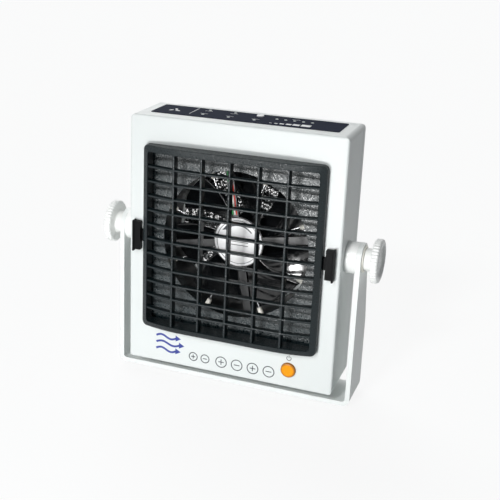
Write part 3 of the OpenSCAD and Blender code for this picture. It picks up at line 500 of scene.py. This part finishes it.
# ---- Fan ----
# A standard 120 mm axial fan in glass-filled black PBT: a square frame with a motor mount at its
# front, and a rotor of seven twisted blades on a cup, moulded in one piece round a steel yoke.
hub_r, blade_reach, blade_wrap, blade_count = 20, 35.6, 42, 7
rotor_low, rotor_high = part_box("fan_rotor")
cup_front = (rotor_low.y - shell_low.y) * 1000
cup_back = (rotor_high.y - shell_low.y) * 1000
# moulded in a polished tool: near-black blades with sharp streaks of light along their curves
fan_plastic = moulded("glossy_black_pbt", "#0C0D0F", "#131517", 0.13, 2.4, 14, coat=0.4)
# the frame's tool is only smooth, so it shows a dim satin sheen
wear(moulded("satin_black_pbt", "#141618", "#1B1D1F", 0.34, 1.2, 30), "fan_frame")


def one_blade(bm):
    margin, sweep, corner_drop, cupping, along, round_hub = 1.2, 60, 0.35, 0.02, 14, 12
    rows = []
    for i in range(along + 1):
        s = hub_r - 0.6 + blade_reach * i / along
        lean = sweep - math.sqrt(sweep ** 2 - (s - hub_r) ** 2)
        row = []
        for j in range(round_hub + 1):
            v = j / round_hub
            r = math.hypot(s, lean) - corner_drop * (i / along) ** 2 * (2 * v - 1) ** 2
            a = math.atan2(lean, s) - math.radians(blade_wrap) * v
            a += cupping * math.sin(math.pi * v) * math.sin(math.pi * i / along)
            y = cup_back - margin - v * (cup_back - cup_front - 2 * margin)
            row.append(bm.verts.new(at_face(r * math.cos(a), y, r * math.sin(a))))
        rows.append(row)
    for i in range(along):
        for j in range(round_hub):
            bm.faces.new((rows[i][j], rows[i][j + 1], rows[i + 1][j + 1], rows[i + 1][j]))


def lathe(bm, profile, turns=96, x=0, z=0, shape=None, wrap=False):
    """Turns (radius, depth) pairs round the fan's axis, or round a line beside it at x and z. Shape
    gives the share of the radius that is left, from the pair's place in the list and the angle."""
    loops = []
    for index, (r, depth) in enumerate(profile):
        loop = []
        for k in range(turns):
            a = math.tau * k / turns
            q = r * shape(index, a) if shape else r
            loop.append(at_face(x + q * math.cos(a), depth, z + q * math.sin(a)))
        loops.append(loop)
    bridge(bm, loops, wrap=wrap)


# the round repeat: turned copies of a piece about the fan's axis
sizes = dict(Count=blade_count, Centre=centre.copy(), Finish=fan_plastic)
wheel, start, end = new_tree("turned_copies", **sizes)
spots = put(wheel, "GeometryNodePoints", {"Count": start["Count"]})
turn = put(wheel, "ShaderNodeMath", {0: put(wheel, "GeometryNodeInputIndex"), 1: math.tau},
           operation="MULTIPLY")
turn = put(wheel, "ShaderNodeMath", {0: turn, 1: start["Count"]}, operation="DIVIDE")
spin = put(wheel, "ShaderNodeCombineXYZ", {"Y": turn})
away = put(wheel, "ShaderNodeVectorMath", {0: start["Centre"], 3: -1.0}, operation="SCALE")
shifted = put(wheel, "GeometryNodeTransform", {"Geometry": start["Geometry"], "Translation": away})
copies = put(wheel, "GeometryNodeInstanceOnPoints", {"Points": spots, "Instance": shifted, "Rotation": spin})
placed = put(wheel, "GeometryNodeTransform", {"Geometry": copies, "Translation": start["Centre"]})
close_tree(wheel, start, end, placed)

blades = new_piece("fan_blades", one_blade)
grown(blades, wheel, **sizes)
thick = blades.modifiers.new("blade_thickness", "SOLIDIFY")
thick.thickness = 0.0017
thick.offset = 0
bevel = blades.modifiers.new("blade_edges", "BEVEL")
bevel.width = 0.0006
bevel.segments = 3
bevel.angle_limit = math.radians(50)
finish_edges(blades, 0, angle=60)
cup = new_piece("fan_hub_cup", lambda bm: lathe(bm, [
    (hub_r - 1.6, cup_front), (hub_r - 0.3, cup_front), (hub_r, cup_front + 0.5), (hub_r, cup_back - 1.6),
    (hub_r - 0.5, cup_back - 0.5), (hub_r - 1.8, cup_back), (6, cup_back), (5.2, cup_back - 0.6),
    (1.4, cup_back - 0.6)]))
wear(fan_plastic, cup)
finish_edges(cup, 0)
for piece in (blades, cup):
    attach(piece, "rotor")
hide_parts("fan_rotor")
# plastic-bonded ferrite: a dull charcoal grey
wear(moulded("bonded_ferrite", "#3A3A3E", "#45454A", 0.6, 0.5, 20), "rotor_magnet")


# ---- Motor label ----
# A disc of coated paper, a flat bright white with a slight gloss, stuck on the motor mount. It is
# printed with a thin ring, an arrow that shows which way the fan turns, and three rules.
wear(moulded("coated_label_paper", "#FCFCFC", "#F4F5F6", 0.32, 3.0, 3), "fan_label")


def printing_ink(name, base, tint, dots):
    """Screen printed ink: an even matt film, whose raster has that many dots to a metre. The real
    raster is 0.1 mm or finer, and it is drawn coarser so that the print isn't one flat colour."""
    made, tree, shader, place = new_finish(name)
    raster = put(tree, "ShaderNodeTexNoise", {"Vector": place, "Scale": dots, "Detail": 1})
    shade = put(tree, "ShaderNodeMix", {0: raster, 6: colour(base), 7: colour(tint)}, data_type="RGBA")
    feed(shader, {"Base Color": shade.outputs[2], "Roughness": 0.5})
    return made


def print_on(bm, outline, to_place):
    """A printed shape 0.06 mm thick: an outline of (a, b) points on the surface under to_place."""
    under = [bm.verts.new(to_place(a, b, 0.0)) for a, b in outline]
    over = [bm.verts.new(to_place(a, b, 0.06)) for a, b in outline]
    faces = [bm.faces.new(over), bm.faces.new(under[::-1])]
    for k in range(len(outline)):
        j = (k + 1) % len(outline)
        faces.append(bm.faces.new((under[k], under[j], over[j], over[k])))
    bmesh.ops.recalc_face_normals(bm, faces=faces)


def print_bar(bm, left, right, low, high, to_place):
    print_on(bm, [(left, low), (right, low), (right, high), (left, high)], to_place)


def arc_band(r, width, start, stop, steps=24, middle=(0, 0)):
    """The outline of a curved stroke, angles in degrees."""
    angles = [math.radians(start + (stop - start) * k / steps) for k in range(steps + 1)]
    outer, inner = ([(middle[0] + edge * math.cos(a), middle[1] + edge * math.sin(a)) for a in angles]
                    for edge in (r + width / 2, r - width / 2))
    return outer + inner[::-1]


label_face = (label_low.y - shell_low.y) * 1000


def on_label(a, b, lift):
    return at_face(a, label_face - lift, b)


def label_marks(bm):
    for start in (0, 90, 180, 270):
        print_on(bm, arc_band(17.2, 0.4, start, start + 90), on_label)
    print_on(bm, arc_band(13.5, 0.9, 40, 140), on_label)
    print_on(bm, [(-10.2, 12.2), (-13.3, 8.0), (-8.4, 9.4)], on_label)
    for b in (3.2, 0.6, -2.0):
        print_bar(bm, -8, 8, b, b - 0.5, on_label)


ink = printing_ink("matt_printing_ink", "#2B3038", "#3A4048", 900)
marks = new_piece("label_print", label_marks)
wear(ink, marks)
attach(marks, "head")


# ---- Ion emitters ----
# A black ring in the duct carries eight white nylon sockets, each with a tungsten needle whose
# ground point faces the axis. The duct plate in front of it closes the corners round the fan.
needle_count, needle_tip, needle_r, ring_mid = 8, 44, 0.5, 12
# nylon: a warm, slightly milky white
nylon = moulded("white_nylon_sockets", "#F2F0E8", "#E8E5DA", 0.35, 0.8, 12)
# ground tungsten: bright metal whose fine grinding breaks its gleam into short glints
needle_steel, tree, shader, place = new_finish("ground_tungsten_needle")
grind = put(tree, "ShaderNodeTexNoise", {"Vector": place, "Scale": 3000, "Detail": 1})
gloss = put(tree, "ShaderNodeMapRange", {"Value": grind, "To Min": 0.12, "To Max": 0.3})
feed(shader, {"Roughness": gloss, "Base Color": colour("#D9DADC"), "Metallic": 1})
# a coarse spark texture, black with a green cast, that glitters in the light from the window
wear(moulded("black_duct_plastic", "#0B191D", "#16282C", 0.36, 1.0, 240, shine=0.7, glint=0.22),
     "duct_plate", "emitter_ring")


def along_ray(bm, profile, sides=20):
    """Turns (distance from the axis, radius) pairs round the first socket's own line."""
    a = math.radians(360 / needle_count / 2)
    out = Vector((math.cos(a), 0, -math.sin(a)))
    side = Vector((0, 1, 0)).cross(out)
    base = at_face(0, ring_mid, 0)
    bridge(bm, [[base + (out * d + (side * math.cos(t) + Vector((0, 1, 0)) * math.sin(t)) * r) / 1000
                 for t in (math.tau * k / sides for k in range(sides))] for d, r in profile])


for name, node, finish, slot, profile in (
        ("emitter_socket_row", "emitter_sockets", nylon, "nylon_white",
         [(53, 0.9), (53, 1.5), (53.3, 1.75), (56.6, 2.1), (57.2, 2.15), (62.8, 2.15), (63, 2.0)]),
        ("emitter_needle_row", "emitter_needles", needle_steel, "needle_steel",
         [(needle_tip, 0.06), (needle_tip + 3, needle_r - 0.02), (needle_tip + 3.4, needle_r),
          (57.8, needle_r)])):
    piece = new_piece(name, lambda bm: along_ray(bm, profile))
    grown(piece, wheel, Count=needle_count, Centre=centre.copy(), Finish=finish)
    finish_edges(piece, 0, angle=40)
    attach(piece, "head")
    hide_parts(node)


# ---- Fan leads ----
# Three thin stranded leads in glossy PVC, green, white and red, laid along the top strut and up to
# the display board. Each is made a little fatter and moved aside, so that its colour shows.
leads = softened("fan_leads", 0, "fan_lead_trio")
leads.data.materials.clear()
# soft PVC: a clear colour with one thin bright line along each lead
for name, base in (("green_pvc_lead", "#2E8B4A"), ("white_pvc_lead", "#ECECE6"),
                   ("red_pvc_lead", "#C8352C")):
    leads.data.materials.append(moulded(name, base, base, 0.3, 1.0, 6))
bm = bmesh.new()
bm.from_mesh(leads.data)
bm.faces.ensure_lookup_table()
groups = []
left_over = set(bm.faces)
while left_over:
    todo, group = [left_over.pop()], []
    while todo:
        face = todo.pop()
        group.append(face)
        near = {f for e in face.edges for f in e.link_faces} & left_over
        left_over -= near
        todo += near
    groups.append(group)
groups.sort(key=lambda g: sum(f.calc_center_median().x for f in g) / len(g))
for index, group in enumerate(groups):
    aside = Vector(((index - 1) * 0.0004, 0, 0))
    for face in group:
        face.material_index = min(index, 2)
    for vertex in {v for face in group for v in face.verts}:
        vertex.co += vertex.normal * 0.0002 + aside
bm.to_mesh(leads.data)
bm.free()


# ---- Knobs ----
# Two ABS hand knobs, each a fluted head on a short neck, moulded round a steel screw: a clean bright
# white with a soft gloss on each flute. They clamp the head between the stand's arms through a
# nylon washer and a white collar.
knob_abs = moulded("white_knob_abs", "#FBFCFA", "#F4F6F4", 0.3, 0.9, 14)
flutes, flute_steps, flute_depth, neck_len = 40, 8, 0.5, 6


def knob(bm, node, side):
    low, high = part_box(node)
    inner = (low.x if side > 0 else -high.x) * 1000
    middle = (low + high) / 2
    head = inner + neck_len
    face = inner + (high.x - low.x) * 1000
    profile = [  # distance along the axis, radius, share of the flutes
        (inner, 7.9, 0), (inner + 0.4, 8.5, 0), (head - 1.0, 8.5, 0), (head - 0.3, 9.0, 0), (head, 9.9, 0),
        (head, 14.6, 0.2), (head + 0.25, 15.5, 0.6), (head + 0.7, 16.2, 1), (head + 1.2, 16.5, 1),
        (face - 1.5, 16.5, 1), (face - 0.9, 16.3, 1), (face - 0.35, 15.7, 0.7), (face - 0.05, 14.8, 0.3),
        (face, 13.9, 0), (face, 12.6, 0), (face - 0.2, 12.2, 0), (face - 1.3, 11.9, 0),
        (face - 1.6, 11.5, 0), (face - 1.6, 6, 0), (face - 1.2, 5, 0), (face - 1.1, 3, 0),
        (face - 1.1, 0.6, 0)]
    loops = []
    for x, r, share in profile:
        loop = []
        for k in range(flutes * flute_steps):
            a = math.tau * k / (flutes * flute_steps)
            q = r - flute_depth * share * (0.5 + 0.5 * math.cos(flutes * a)) ** 2.5
            loop.append(Vector((side * x / 1000, middle.y + q * math.cos(a) / 1000,
                                middle.z + q * math.sin(a) / 1000)))
        loops.append(loop)
    bridge(bm, loops)


for node, body, side in (("clamp_knob_left", "knob_left", -1), ("clamp_knob_right", "knob_right", 1)):
    piece = new_piece(node.replace("clamp", "hand"), lambda bm: knob(bm, node, side))
    wear(knob_abs, piece)
    finish_edges(piece, 0, angle=60)
    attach(piece, body)
    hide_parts(node)
wear(nylon, "clamp_washer_left", "clamp_washer_right")
wear(knob_abs, softened("pivot_spacers", 0.5, "pivot_collars"))


# ---- Power button ----
# A round push button in translucent orange acetal, lit from behind. Its colour is painted darker towards
# the rim: painted shade where the cap's side wall falls in shadow.
button_low, button_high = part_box("power_button")
button_x = (button_low.x + button_high.x) * 500
button_z = ((button_low.z + button_high.z) / 2 - centre.z) * 1000
button_r = 5.8
proud = (shell_low.y - button_low.y) * 1000
# acetal glows a little from within and has a waxy gloss, with a haze of about 1 mm
orange, tree, shader, place = new_finish("translucent_orange_acetal")
# painted shade: the orange is painted darker from 3.5 mm out to the cap's rim, where its side wall is in
# shade
spot = put(tree, "ShaderNodeVectorMath", {0: place, 1: (button_x / 1000, 0, centre.z + button_z / 1000)},
           operation="SUBTRACT")
flat = put(tree, "ShaderNodeVectorMath", {0: spot, 1: (1, 0, 1)}, operation="MULTIPLY")
out = put(tree, "ShaderNodeVectorMath", {0: flat}, operation="LENGTH")
edge = put(tree, "ShaderNodeMapRange", {"Value": out.outputs[1], "From Min": 0.0035,
                                        "From Max": button_r / 1000}, interpolation_type="SMOOTHSTEP")
shade = put(tree, "ShaderNodeMix", {0: edge, 6: colour("#FFA006"), 7: colour("#A8691A")}, data_type="RGBA")
haze = put(tree, "ShaderNodeTexNoise", {"Vector": place, "Scale": 900, "Detail": 2})
gloss = put(tree, "ShaderNodeMapRange", {"Value": haze, "To Min": 0.16, "To Max": 0.34})
feed(shader, {"Base Color": shade.outputs[2], "Roughness": gloss, "Specular IOR Level": 0.3,
              "Subsurface Weight": 0.12, "Subsurface Radius": (0.002, 0.001, 0.0004)})
cap = new_piece("power_button_cap", lambda bm: lathe(bm, [
    (button_r, 2.4), (button_r, 0.7 - proud), (button_r - 0.15, 0.35 - proud),
    (button_r - 0.5, 0.12 - proud), (button_r - 1.2, 0.02 - proud), (3.0, 0.12 - proud),
    (1.2, 0.18 - proud)], turns=64, x=button_x, z=button_z))
wear(orange, cap)
finish_edges(cap, 0, angle=50)
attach(cap, "power_button")
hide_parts("power_button")


# ---- Top panel ----
# A polycarbonate film, printed navy black on its back, stuck in the top of the housing. White marks
# show the speed steps, and frosted light pipes and one white key come through it.
film_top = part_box("top_panel")[1].z
# the velvet skin is drawn at 0.6 mm, coarser than real: a deep dark blue with almost no reflection
film, tree, shader, place = new_finish("printed_polycarbonate_film")
velvet = put(tree, "ShaderNodeTexNoise", {"Vector": place, "Scale": 1600, "Detail": 2})
cloud = put(tree, "ShaderNodeTexNoise", {"Vector": place, "Scale": 30, "Detail": 2})
shade = put(tree, "ShaderNodeMix", {0: cloud, 6: colour("#0D1424"), 7: colour("#161E30")}, data_type="RGBA")
bump = put(tree, "ShaderNodeBump", {"Height": velvet, "Distance": 0.00001})
feed(shader, {"Base Color": shade.outputs[2], "Normal": bump, "Roughness": 0.62,
              "Specular IOR Level": 0.015})
wear(film, "top_panel")


def on_film(a, b, lift):
    return Vector((a / 1000, shell_low.y + b / 1000, film_top + lift / 1000))


def film_marks(bm):
    # a thin line between the fan sign and the lights
    print_bar(bm, -44.25, -43.75, 18, 39.5, on_film)
    # the speed scale: blocks that grow from left to right on one line
    scale_line = 16.4
    for x, wide, deep in ((20.4, 1.8, 0.9), (24.6, 2.4, 1.5), (28.9, 3.2, 2.5), (33.9, 4.0, 3.7),
                          (39.4, 5.0, 4.7), (46.6, 7.0, 6.0)):
        print_bar(bm, x - wide / 2, x + wide / 2, scale_line, scale_line + deep, on_film)
    # a plain fan sign of three petals
    fan_x, fan_y = -58.5, 25.5
    for k in range(3):
        a = math.radians(90 + 120 * k)
        petal = []
        for t in range(20):
            q = math.tau * t / 20
            u, v = 2.9 + 1.9 * math.cos(q), 1.15 * math.sin(q) + 0.7 * math.cos(q)
            petal.append((fan_x + u * math.cos(a) - v * math.sin(a),
                          fan_y + u * math.sin(a) + v * math.cos(a)))
        print_on(bm, petal, on_film)
    # short rules under the light pipes, where their captions would be
    for x, b in ((-34, 33.2), (-13.5, 33.2), (-34, 23.6), (-13.5, 23.6), (6.7, 23.6), (34.6, 35.2)):
        print_bar(bm, x - 3, x + 3, b, b + 0.35, on_film)


marks = new_piece("panel_print", film_marks)
wear(printing_ink("white_screen_ink", "#F2F4F4", "#DDE0E2", 1200), marks)
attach(marks, "head")
# the key is smoother and whiter than the housing
wear(moulded("white_key_abs", "#F6F7F7", "#EEF0F0", 0.3, 0.8, 8), softened("speed_button", 0.3, "speed_key"))
# frosted acrylic: pale and half clear, its frost drawn at 0.4 mm so that the gloss looks broken
pipes, tree, shader, place = new_finish("frosted_acrylic_light_pipe")
frost = put(tree, "ShaderNodeTexNoise", {"Vector": place, "Scale": 2500, "Detail": 2})
gloss = put(tree, "ShaderNodeMapRange", {"Value": frost, "To Min": 0.2, "To Max": 0.5})
feed(shader, {"Roughness": gloss, "Base Color": colour("#DCE5E2"), "Transmission Weight": 0.25, "IOR": 1.49})
wear(pipes, "indicator_lenses")


# ---- Front signs ----
# Generic signs screen printed on the strip below the grille: moving air in blue, ions of both
# signs in grey, and the power sign above the button.
def on_front(a, b, lift):
    return Vector((a / 1000, shell_low.y - lift / 1000, shell_low.z + b / 1000))


def stroke(bm, points, width, to_place):
    """A printed line along (a, b) points."""
    left_side, right_side = [], []
    for i, (a, b) in enumerate(points):
        a0, b0 = points[max(0, i - 1)]
        a1, b1 = points[min(len(points) - 1, i + 1)]
        run = math.hypot(a1 - a0, b1 - b0)
        na, nb = -(b1 - b0) / run * width / 2, (a1 - a0) / run * width / 2
        left_side.append((a + na, b + nb))
        right_side.append((a - na, b - nb))
    print_on(bm, left_side + right_side[::-1], to_place)


def air_sign(bm):
    start = -60.5
    for row, length in ((22.6, 17), (17.0, 20), (11.4, 17)):
        wave = [(start + length * t / 24, row + 1.5 * math.sin(math.tau * t / 24)) for t in range(25)]
        stroke(bm, wave, 1.7, on_front)
        tip = start + length
        print_on(bm, [(tip - 0.4, row + 2.6), (tip + 4.2, row), (tip - 0.4, row - 2.6)], on_front)


def ion_signs(bm):
    row, thin = 10.0, 0.35
    for x, r, positive in ((-28.5, 3.4, True), (-18.5, 3.4, False), (-5.0, 4.4, True), (8.0, 4.4, False),
                           (21.0, 4.4, True), (34.0, 4.4, False)):
        for start in range(0, 360, 90):
            print_on(bm, arc_band(r, 0.75, start, start + 90, 10, (x, row)), on_front)
        half = r * 0.52
        print_bar(bm, x - half, x + half, row - thin, row + thin, on_front)
        if positive:
            for s in (-1, 1):
                print_bar(bm, x - thin, x + thin, row + s * thin, row + s * half, on_front)
    # the power sign: an open ring with a bar in its gap
    row = (button_low.z + button_high.z) * 500 - shell_low.z * 1000 + 9.6
    print_on(bm, arc_band(1.75, 0.5, -235, 55, 20, (button_x, row)), on_front)
    print_bar(bm, button_x - 0.25, button_x + 0.25, row + 0.2, row + 2.4, on_front)


blue_ink = printing_ink("blue_screen_ink", "#26348A", "#36469C", 900)
for name, build, finish in (("air_sign_print", air_sign, blue_ink), ("ion_sign_print", ion_signs, ink)):
    sign = new_piece(name, build)
    wear(finish, sign)
    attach(sign, "head")


# ---- Rear cover screws ----
# Four zinc-plated pan-head screws with a lobed cross recess, deep in the corners of the cover. The
# screws, shaft and bearings inside wear the same bright metal.
screw_low, screw_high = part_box("cover_screws")
screw_r, head_r, head_h = 1.5, 2.8, 1.8
corner_x = screw_high.x * 1000 - head_r
low_z = (screw_low.z - centre.z) * 1000 + head_r
high_z = (screw_high.z - centre.z) * 1000 - head_r
seat_y = (screw_high.y - shell_low.y) * 1000 - head_h
tip_y = (screw_low.y - shell_low.y) * 1000
# plating: bright, slightly blue metal whose gloss and tone change in blotches of under 1 mm
zinc, tree, shader, place = new_finish("zinc_plated_steel")
grain = put(tree, "ShaderNodeTexNoise", {"Vector": place, "Scale": 1300, "Detail": 3})
gloss = put(tree, "ShaderNodeMapRange", {"Value": grain, "To Min": 0.22, "To Max": 0.48})
tint = put(tree, "ShaderNodeMix", {0: grain, 6: colour("#C9CCD0"), 7: colour("#B4B6B4")}, data_type="RGBA")
feed(shader, {"Roughness": gloss, "Base Color": tint.outputs[2], "Metallic": 1})
wear(zinc, "duct_screws", "fan_screws", "board_screws", "fan_bearings", "fan_shaft", "clamp_stud_left",
     "clamp_stud_right")


def corner_screw(bm):
    top = seat_y + head_h
    profile = [(0.2, tip_y), (screw_r * 0.6, tip_y + 0.6), (screw_r, tip_y + 2), (screw_r, seat_y),
               (head_r, seat_y), (head_r, seat_y + 0.9), (head_r - 0.3, seat_y + 1.4), (head_r - 1.0, top),
               (1.45, top), (1.3, top - 0.15), (0.9, seat_y + 0.8), (0.3, seat_y + 0.6)]
    lobes = {8: 0.55, 9: 0.6, 10: 0.6, 11: 0.3}    # how deep each of the recess's rings is lobed
    lathe(bm, profile, turns=48, x=-corner_x, z=low_z, shape=lambda index, a: (
        1 - lobes.get(index, 0) * (0.5 - 0.5 * math.cos(4 * a)) ** 0.7))


sizes = dict(Span_X=2 * corner_x / 1000, Span_Z=(high_z - low_z) / 1000, Finish=zinc)
tree, start, end = new_tree("four_corners", **sizes)
grid = put(tree, "GeometryNodeMeshGrid", {"Size X": start["Span_X"], "Size Y": start["Span_Z"],
                                          "Vertices X": 2, "Vertices Y": 2})
grid = put(tree, "GeometryNodeTransform", {"Geometry": grid, "Rotation": (math.pi / 2, 0, 0)})
half_x = put(tree, "ShaderNodeMath", {0: start["Span_X"], 1: 0.5}, operation="MULTIPLY")
half_z = put(tree, "ShaderNodeMath", {0: start["Span_Z"], 1: 0.5}, operation="MULTIPLY")
shift = put(tree, "ShaderNodeCombineXYZ", {"X": half_x, "Z": half_z})
spots = put(tree, "GeometryNodeTransform", {"Geometry": grid, "Translation": shift})
copies = put(tree, "GeometryNodeInstanceOnPoints", {"Points": spots, "Instance": start["Geometry"]})
close_tree(tree, start, end, copies)
screws = new_piece("rear_cover_screws", corner_screw)
grown(screws, tree, **sizes)
finish_edges(screws, 0)
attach(screws, "head")
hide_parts("cover_screws")


# ---- Rear intake ----
# A disc of open-cell foam behind a white ABS finger guard of fine rings on eight spokes, dropped
# into a round pocket of the cover.
guard_low, guard_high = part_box("intake_guard")
guard_back = (guard_high.y - shell_low.y) * 1000
guard_r = (guard_high.x - guard_low.x) * 500
rings, spokes, ring_wide, guard_t, spoke_half = 9, 8, 1.8, 2.5, 1.2
# reticulated foam: dull charcoal cells, drawn 1.25 mm wide, which is about the real size
foam, tree, shader, place = new_finish("open_cell_filter_foam")
cells = put(tree, "ShaderNodeTexVoronoi", {"Vector": place, "Scale": 800}, feature="F1")
bump = put(tree, "ShaderNodeBump", {"Height": cells, "Distance": 0.0008})
shade = put(tree, "ShaderNodeMix", {0: cells, 6: colour("#191A1C"), 7: colour("#3B3D40")}, data_type="RGBA")
# the pores are open, so the light behind comes through as a fine net
pores = put(tree, "ShaderNodeMapRange", {"Value": cells, "From Min": 0.46, "From Max": 0.54})
feed(shader, {"Base Color": shade.outputs[2], "Normal": bump, "Roughness": 0.95, "Alpha": pores})
wear(foam, "intake_filter")
sizes = dict(Rings=rings - 1, Pitch=(guard_r - 0.8) / rings / 1000, Wide=ring_wide / 1000,
             Deep=guard_t / 1000, Finish=housing_abs)
tree, start, end = new_tree("guard_rings", **sizes)
spots = put(tree, "GeometryNodePoints", {"Count": start["Rings"]})
round_line = put(tree, "GeometryNodeCurvePrimitiveCircle", {"Resolution": 96, "Radius": 1.0}, mode="RADIUS")
order = put(tree, "ShaderNodeMath", {0: put(tree, "GeometryNodeInputIndex"), 1: 1.0}, operation="ADD")
size = put(tree, "ShaderNodeMath", {0: order, 1: start["Pitch"]}, operation="MULTIPLY")
copies = put(tree, "GeometryNodeInstanceOnPoints", {"Points": spots, "Instance": round_line, "Scale": size,
                                                    "Rotation": (math.pi / 2, 0, 0)})
plain = put(tree, "GeometryNodeRealizeInstances", {0: copies})
bar = rounded_bar(tree, start["Wide"], start["Deep"], 2, 0.0005)
swept = put(tree, "GeometryNodeCurveToMesh", {"Curve": plain, "Profile Curve": bar})
close_tree(tree, start, end, swept)
guard = new_piece("guard_ring_set", lambda bm: None)
grown(guard, tree, **sizes)
guard.data.transform(Matrix.Translation(at_face(0, guard_back - guard_t / 2, 0)))


def guard_spoke(bm):
    inner, outer = guard_back - guard_t, guard_back - 0.45
    outline = [(-spoke_half, inner), (spoke_half, inner), (spoke_half, outer - 0.45),
               (spoke_half - 0.4, outer), (0.4 - spoke_half, outer), (-spoke_half, outer - 0.45)]
    bridge(bm, [[at_face(x, y, z) for x, y in outline] for z in (4, 20, 40, guard_r - 1.4)])


arms = new_piece("guard_spokes", guard_spoke)
grown(arms, wheel, Count=spokes, Centre=centre.copy(), Finish=housing_abs)


def guard_rim(bm):
    inner = guard_back - guard_t
    lathe(bm, [(guard_r - 2.4, inner), (guard_r, inner), (guard_r, guard_back - 0.5),
               (guard_r - 0.5, guard_back), (guard_r - 2.0, guard_back), (guard_r - 2.4, guard_back - 0.4)],
          turns=128, wrap=True)
    lathe(bm, [(4.6, inner), (5, inner + 0.3), (5, guard_back - 0.6), (4.4, guard_back - 0.05),
               (2, guard_back)], turns=48)


rim = new_piece("guard_rim", guard_rim)
wear(housing_abs, rim)
for piece in (guard, arms, rim):
    finish_edges(piece, 0)
    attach(piece, "head")
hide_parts("intake_guard")


# ---- Inside ----
# Circuit boards, a potted high-voltage module, moulded switches and inlet, the motor's iron and
# copper, and turned brass inserts. They are hidden unless the head is opened.

# solder mask: glossy green over copper tracks, which show a paler green and stand a little proud
board, tree, shader, place = new_finish("green_solder_mask")
turned = put(tree, "ShaderNodeMapping", {"Vector": place, "Rotation": (math.pi / 2, 0, 0)})
tracks = put(tree, "ShaderNodeTexBrick", {"Vector": turned, "Scale": 120, "Mortar Size": 0.08,
                                          "Color1": colour("#0C4A2C"), "Color2": colour("#0E5331"),
                                          "Mortar": colour("#1D7A4A")})
bump = put(tree, "ShaderNodeBump", {"Height": tracks.outputs["Fac"], "Distance": 0.00003})
feed(shader, {"Base Color": tracks, "Normal": bump, "Roughness": 0.28})
wear(board, "control_board", "display_board", "fan_driver_board")
# moulded epoxy: a flat black with a faint sheen
wear(moulded("epoxy_potted_case", "#141517", "#1C1D20", 0.4, 0.9, 20), "high_voltage_module", "power_inlet",
     "power_switch", "speed_switch")
# silicone: a soft, slightly yellow white
wear(moulded("ivory_silicone_lead", "#E9E5D6", "#DED9C8", 0.4, 0.8, 8), "high_voltage_leads")
# fine lines catch the light across wound, stacked, drawn and turned metal; pitch is in millimetres
for name, node, base, tint, rough, pitch, direction in (
        ("enamelled_copper_wire", "fan_windings", "#B4622E", "#8E4A20", 0.3, 0.5, "Y"),
        ("stacked_silicon_steel", "fan_stator", "#6A6E74", "#53575D", 0.45, 0.5, "Y"),
        ("pressed_steel_yoke", "rotor_yoke", "#8A8D92", "#75787D", 0.35, 2.0, "Y"),
        ("turned_brass", "pivot_inserts", "#C9A456", "#B38F45", 0.25, 0.4, "X")):
    made, tree, shader, place = new_finish(name)
    # the bands repeat 3.18 times a unit at scale 1, so the scale follows from the pitch
    bands = put(tree, "ShaderNodeTexWave", {"Vector": place, "Scale": 1000 / pitch / 3.18},
                bands_direction=direction).outputs["Fac"]
    bump = put(tree, "ShaderNodeBump", {"Height": bands, "Distance": 0.00008})
    shade = put(tree, "ShaderNodeMix", {0: bands, 6: colour(base), 7: colour(tint)}, data_type="RGBA")
    feed(shader, {"Base Color": shade.outputs[2], "Normal": bump, "Metallic": 1, "Roughness": rough})
    wear(made, node)
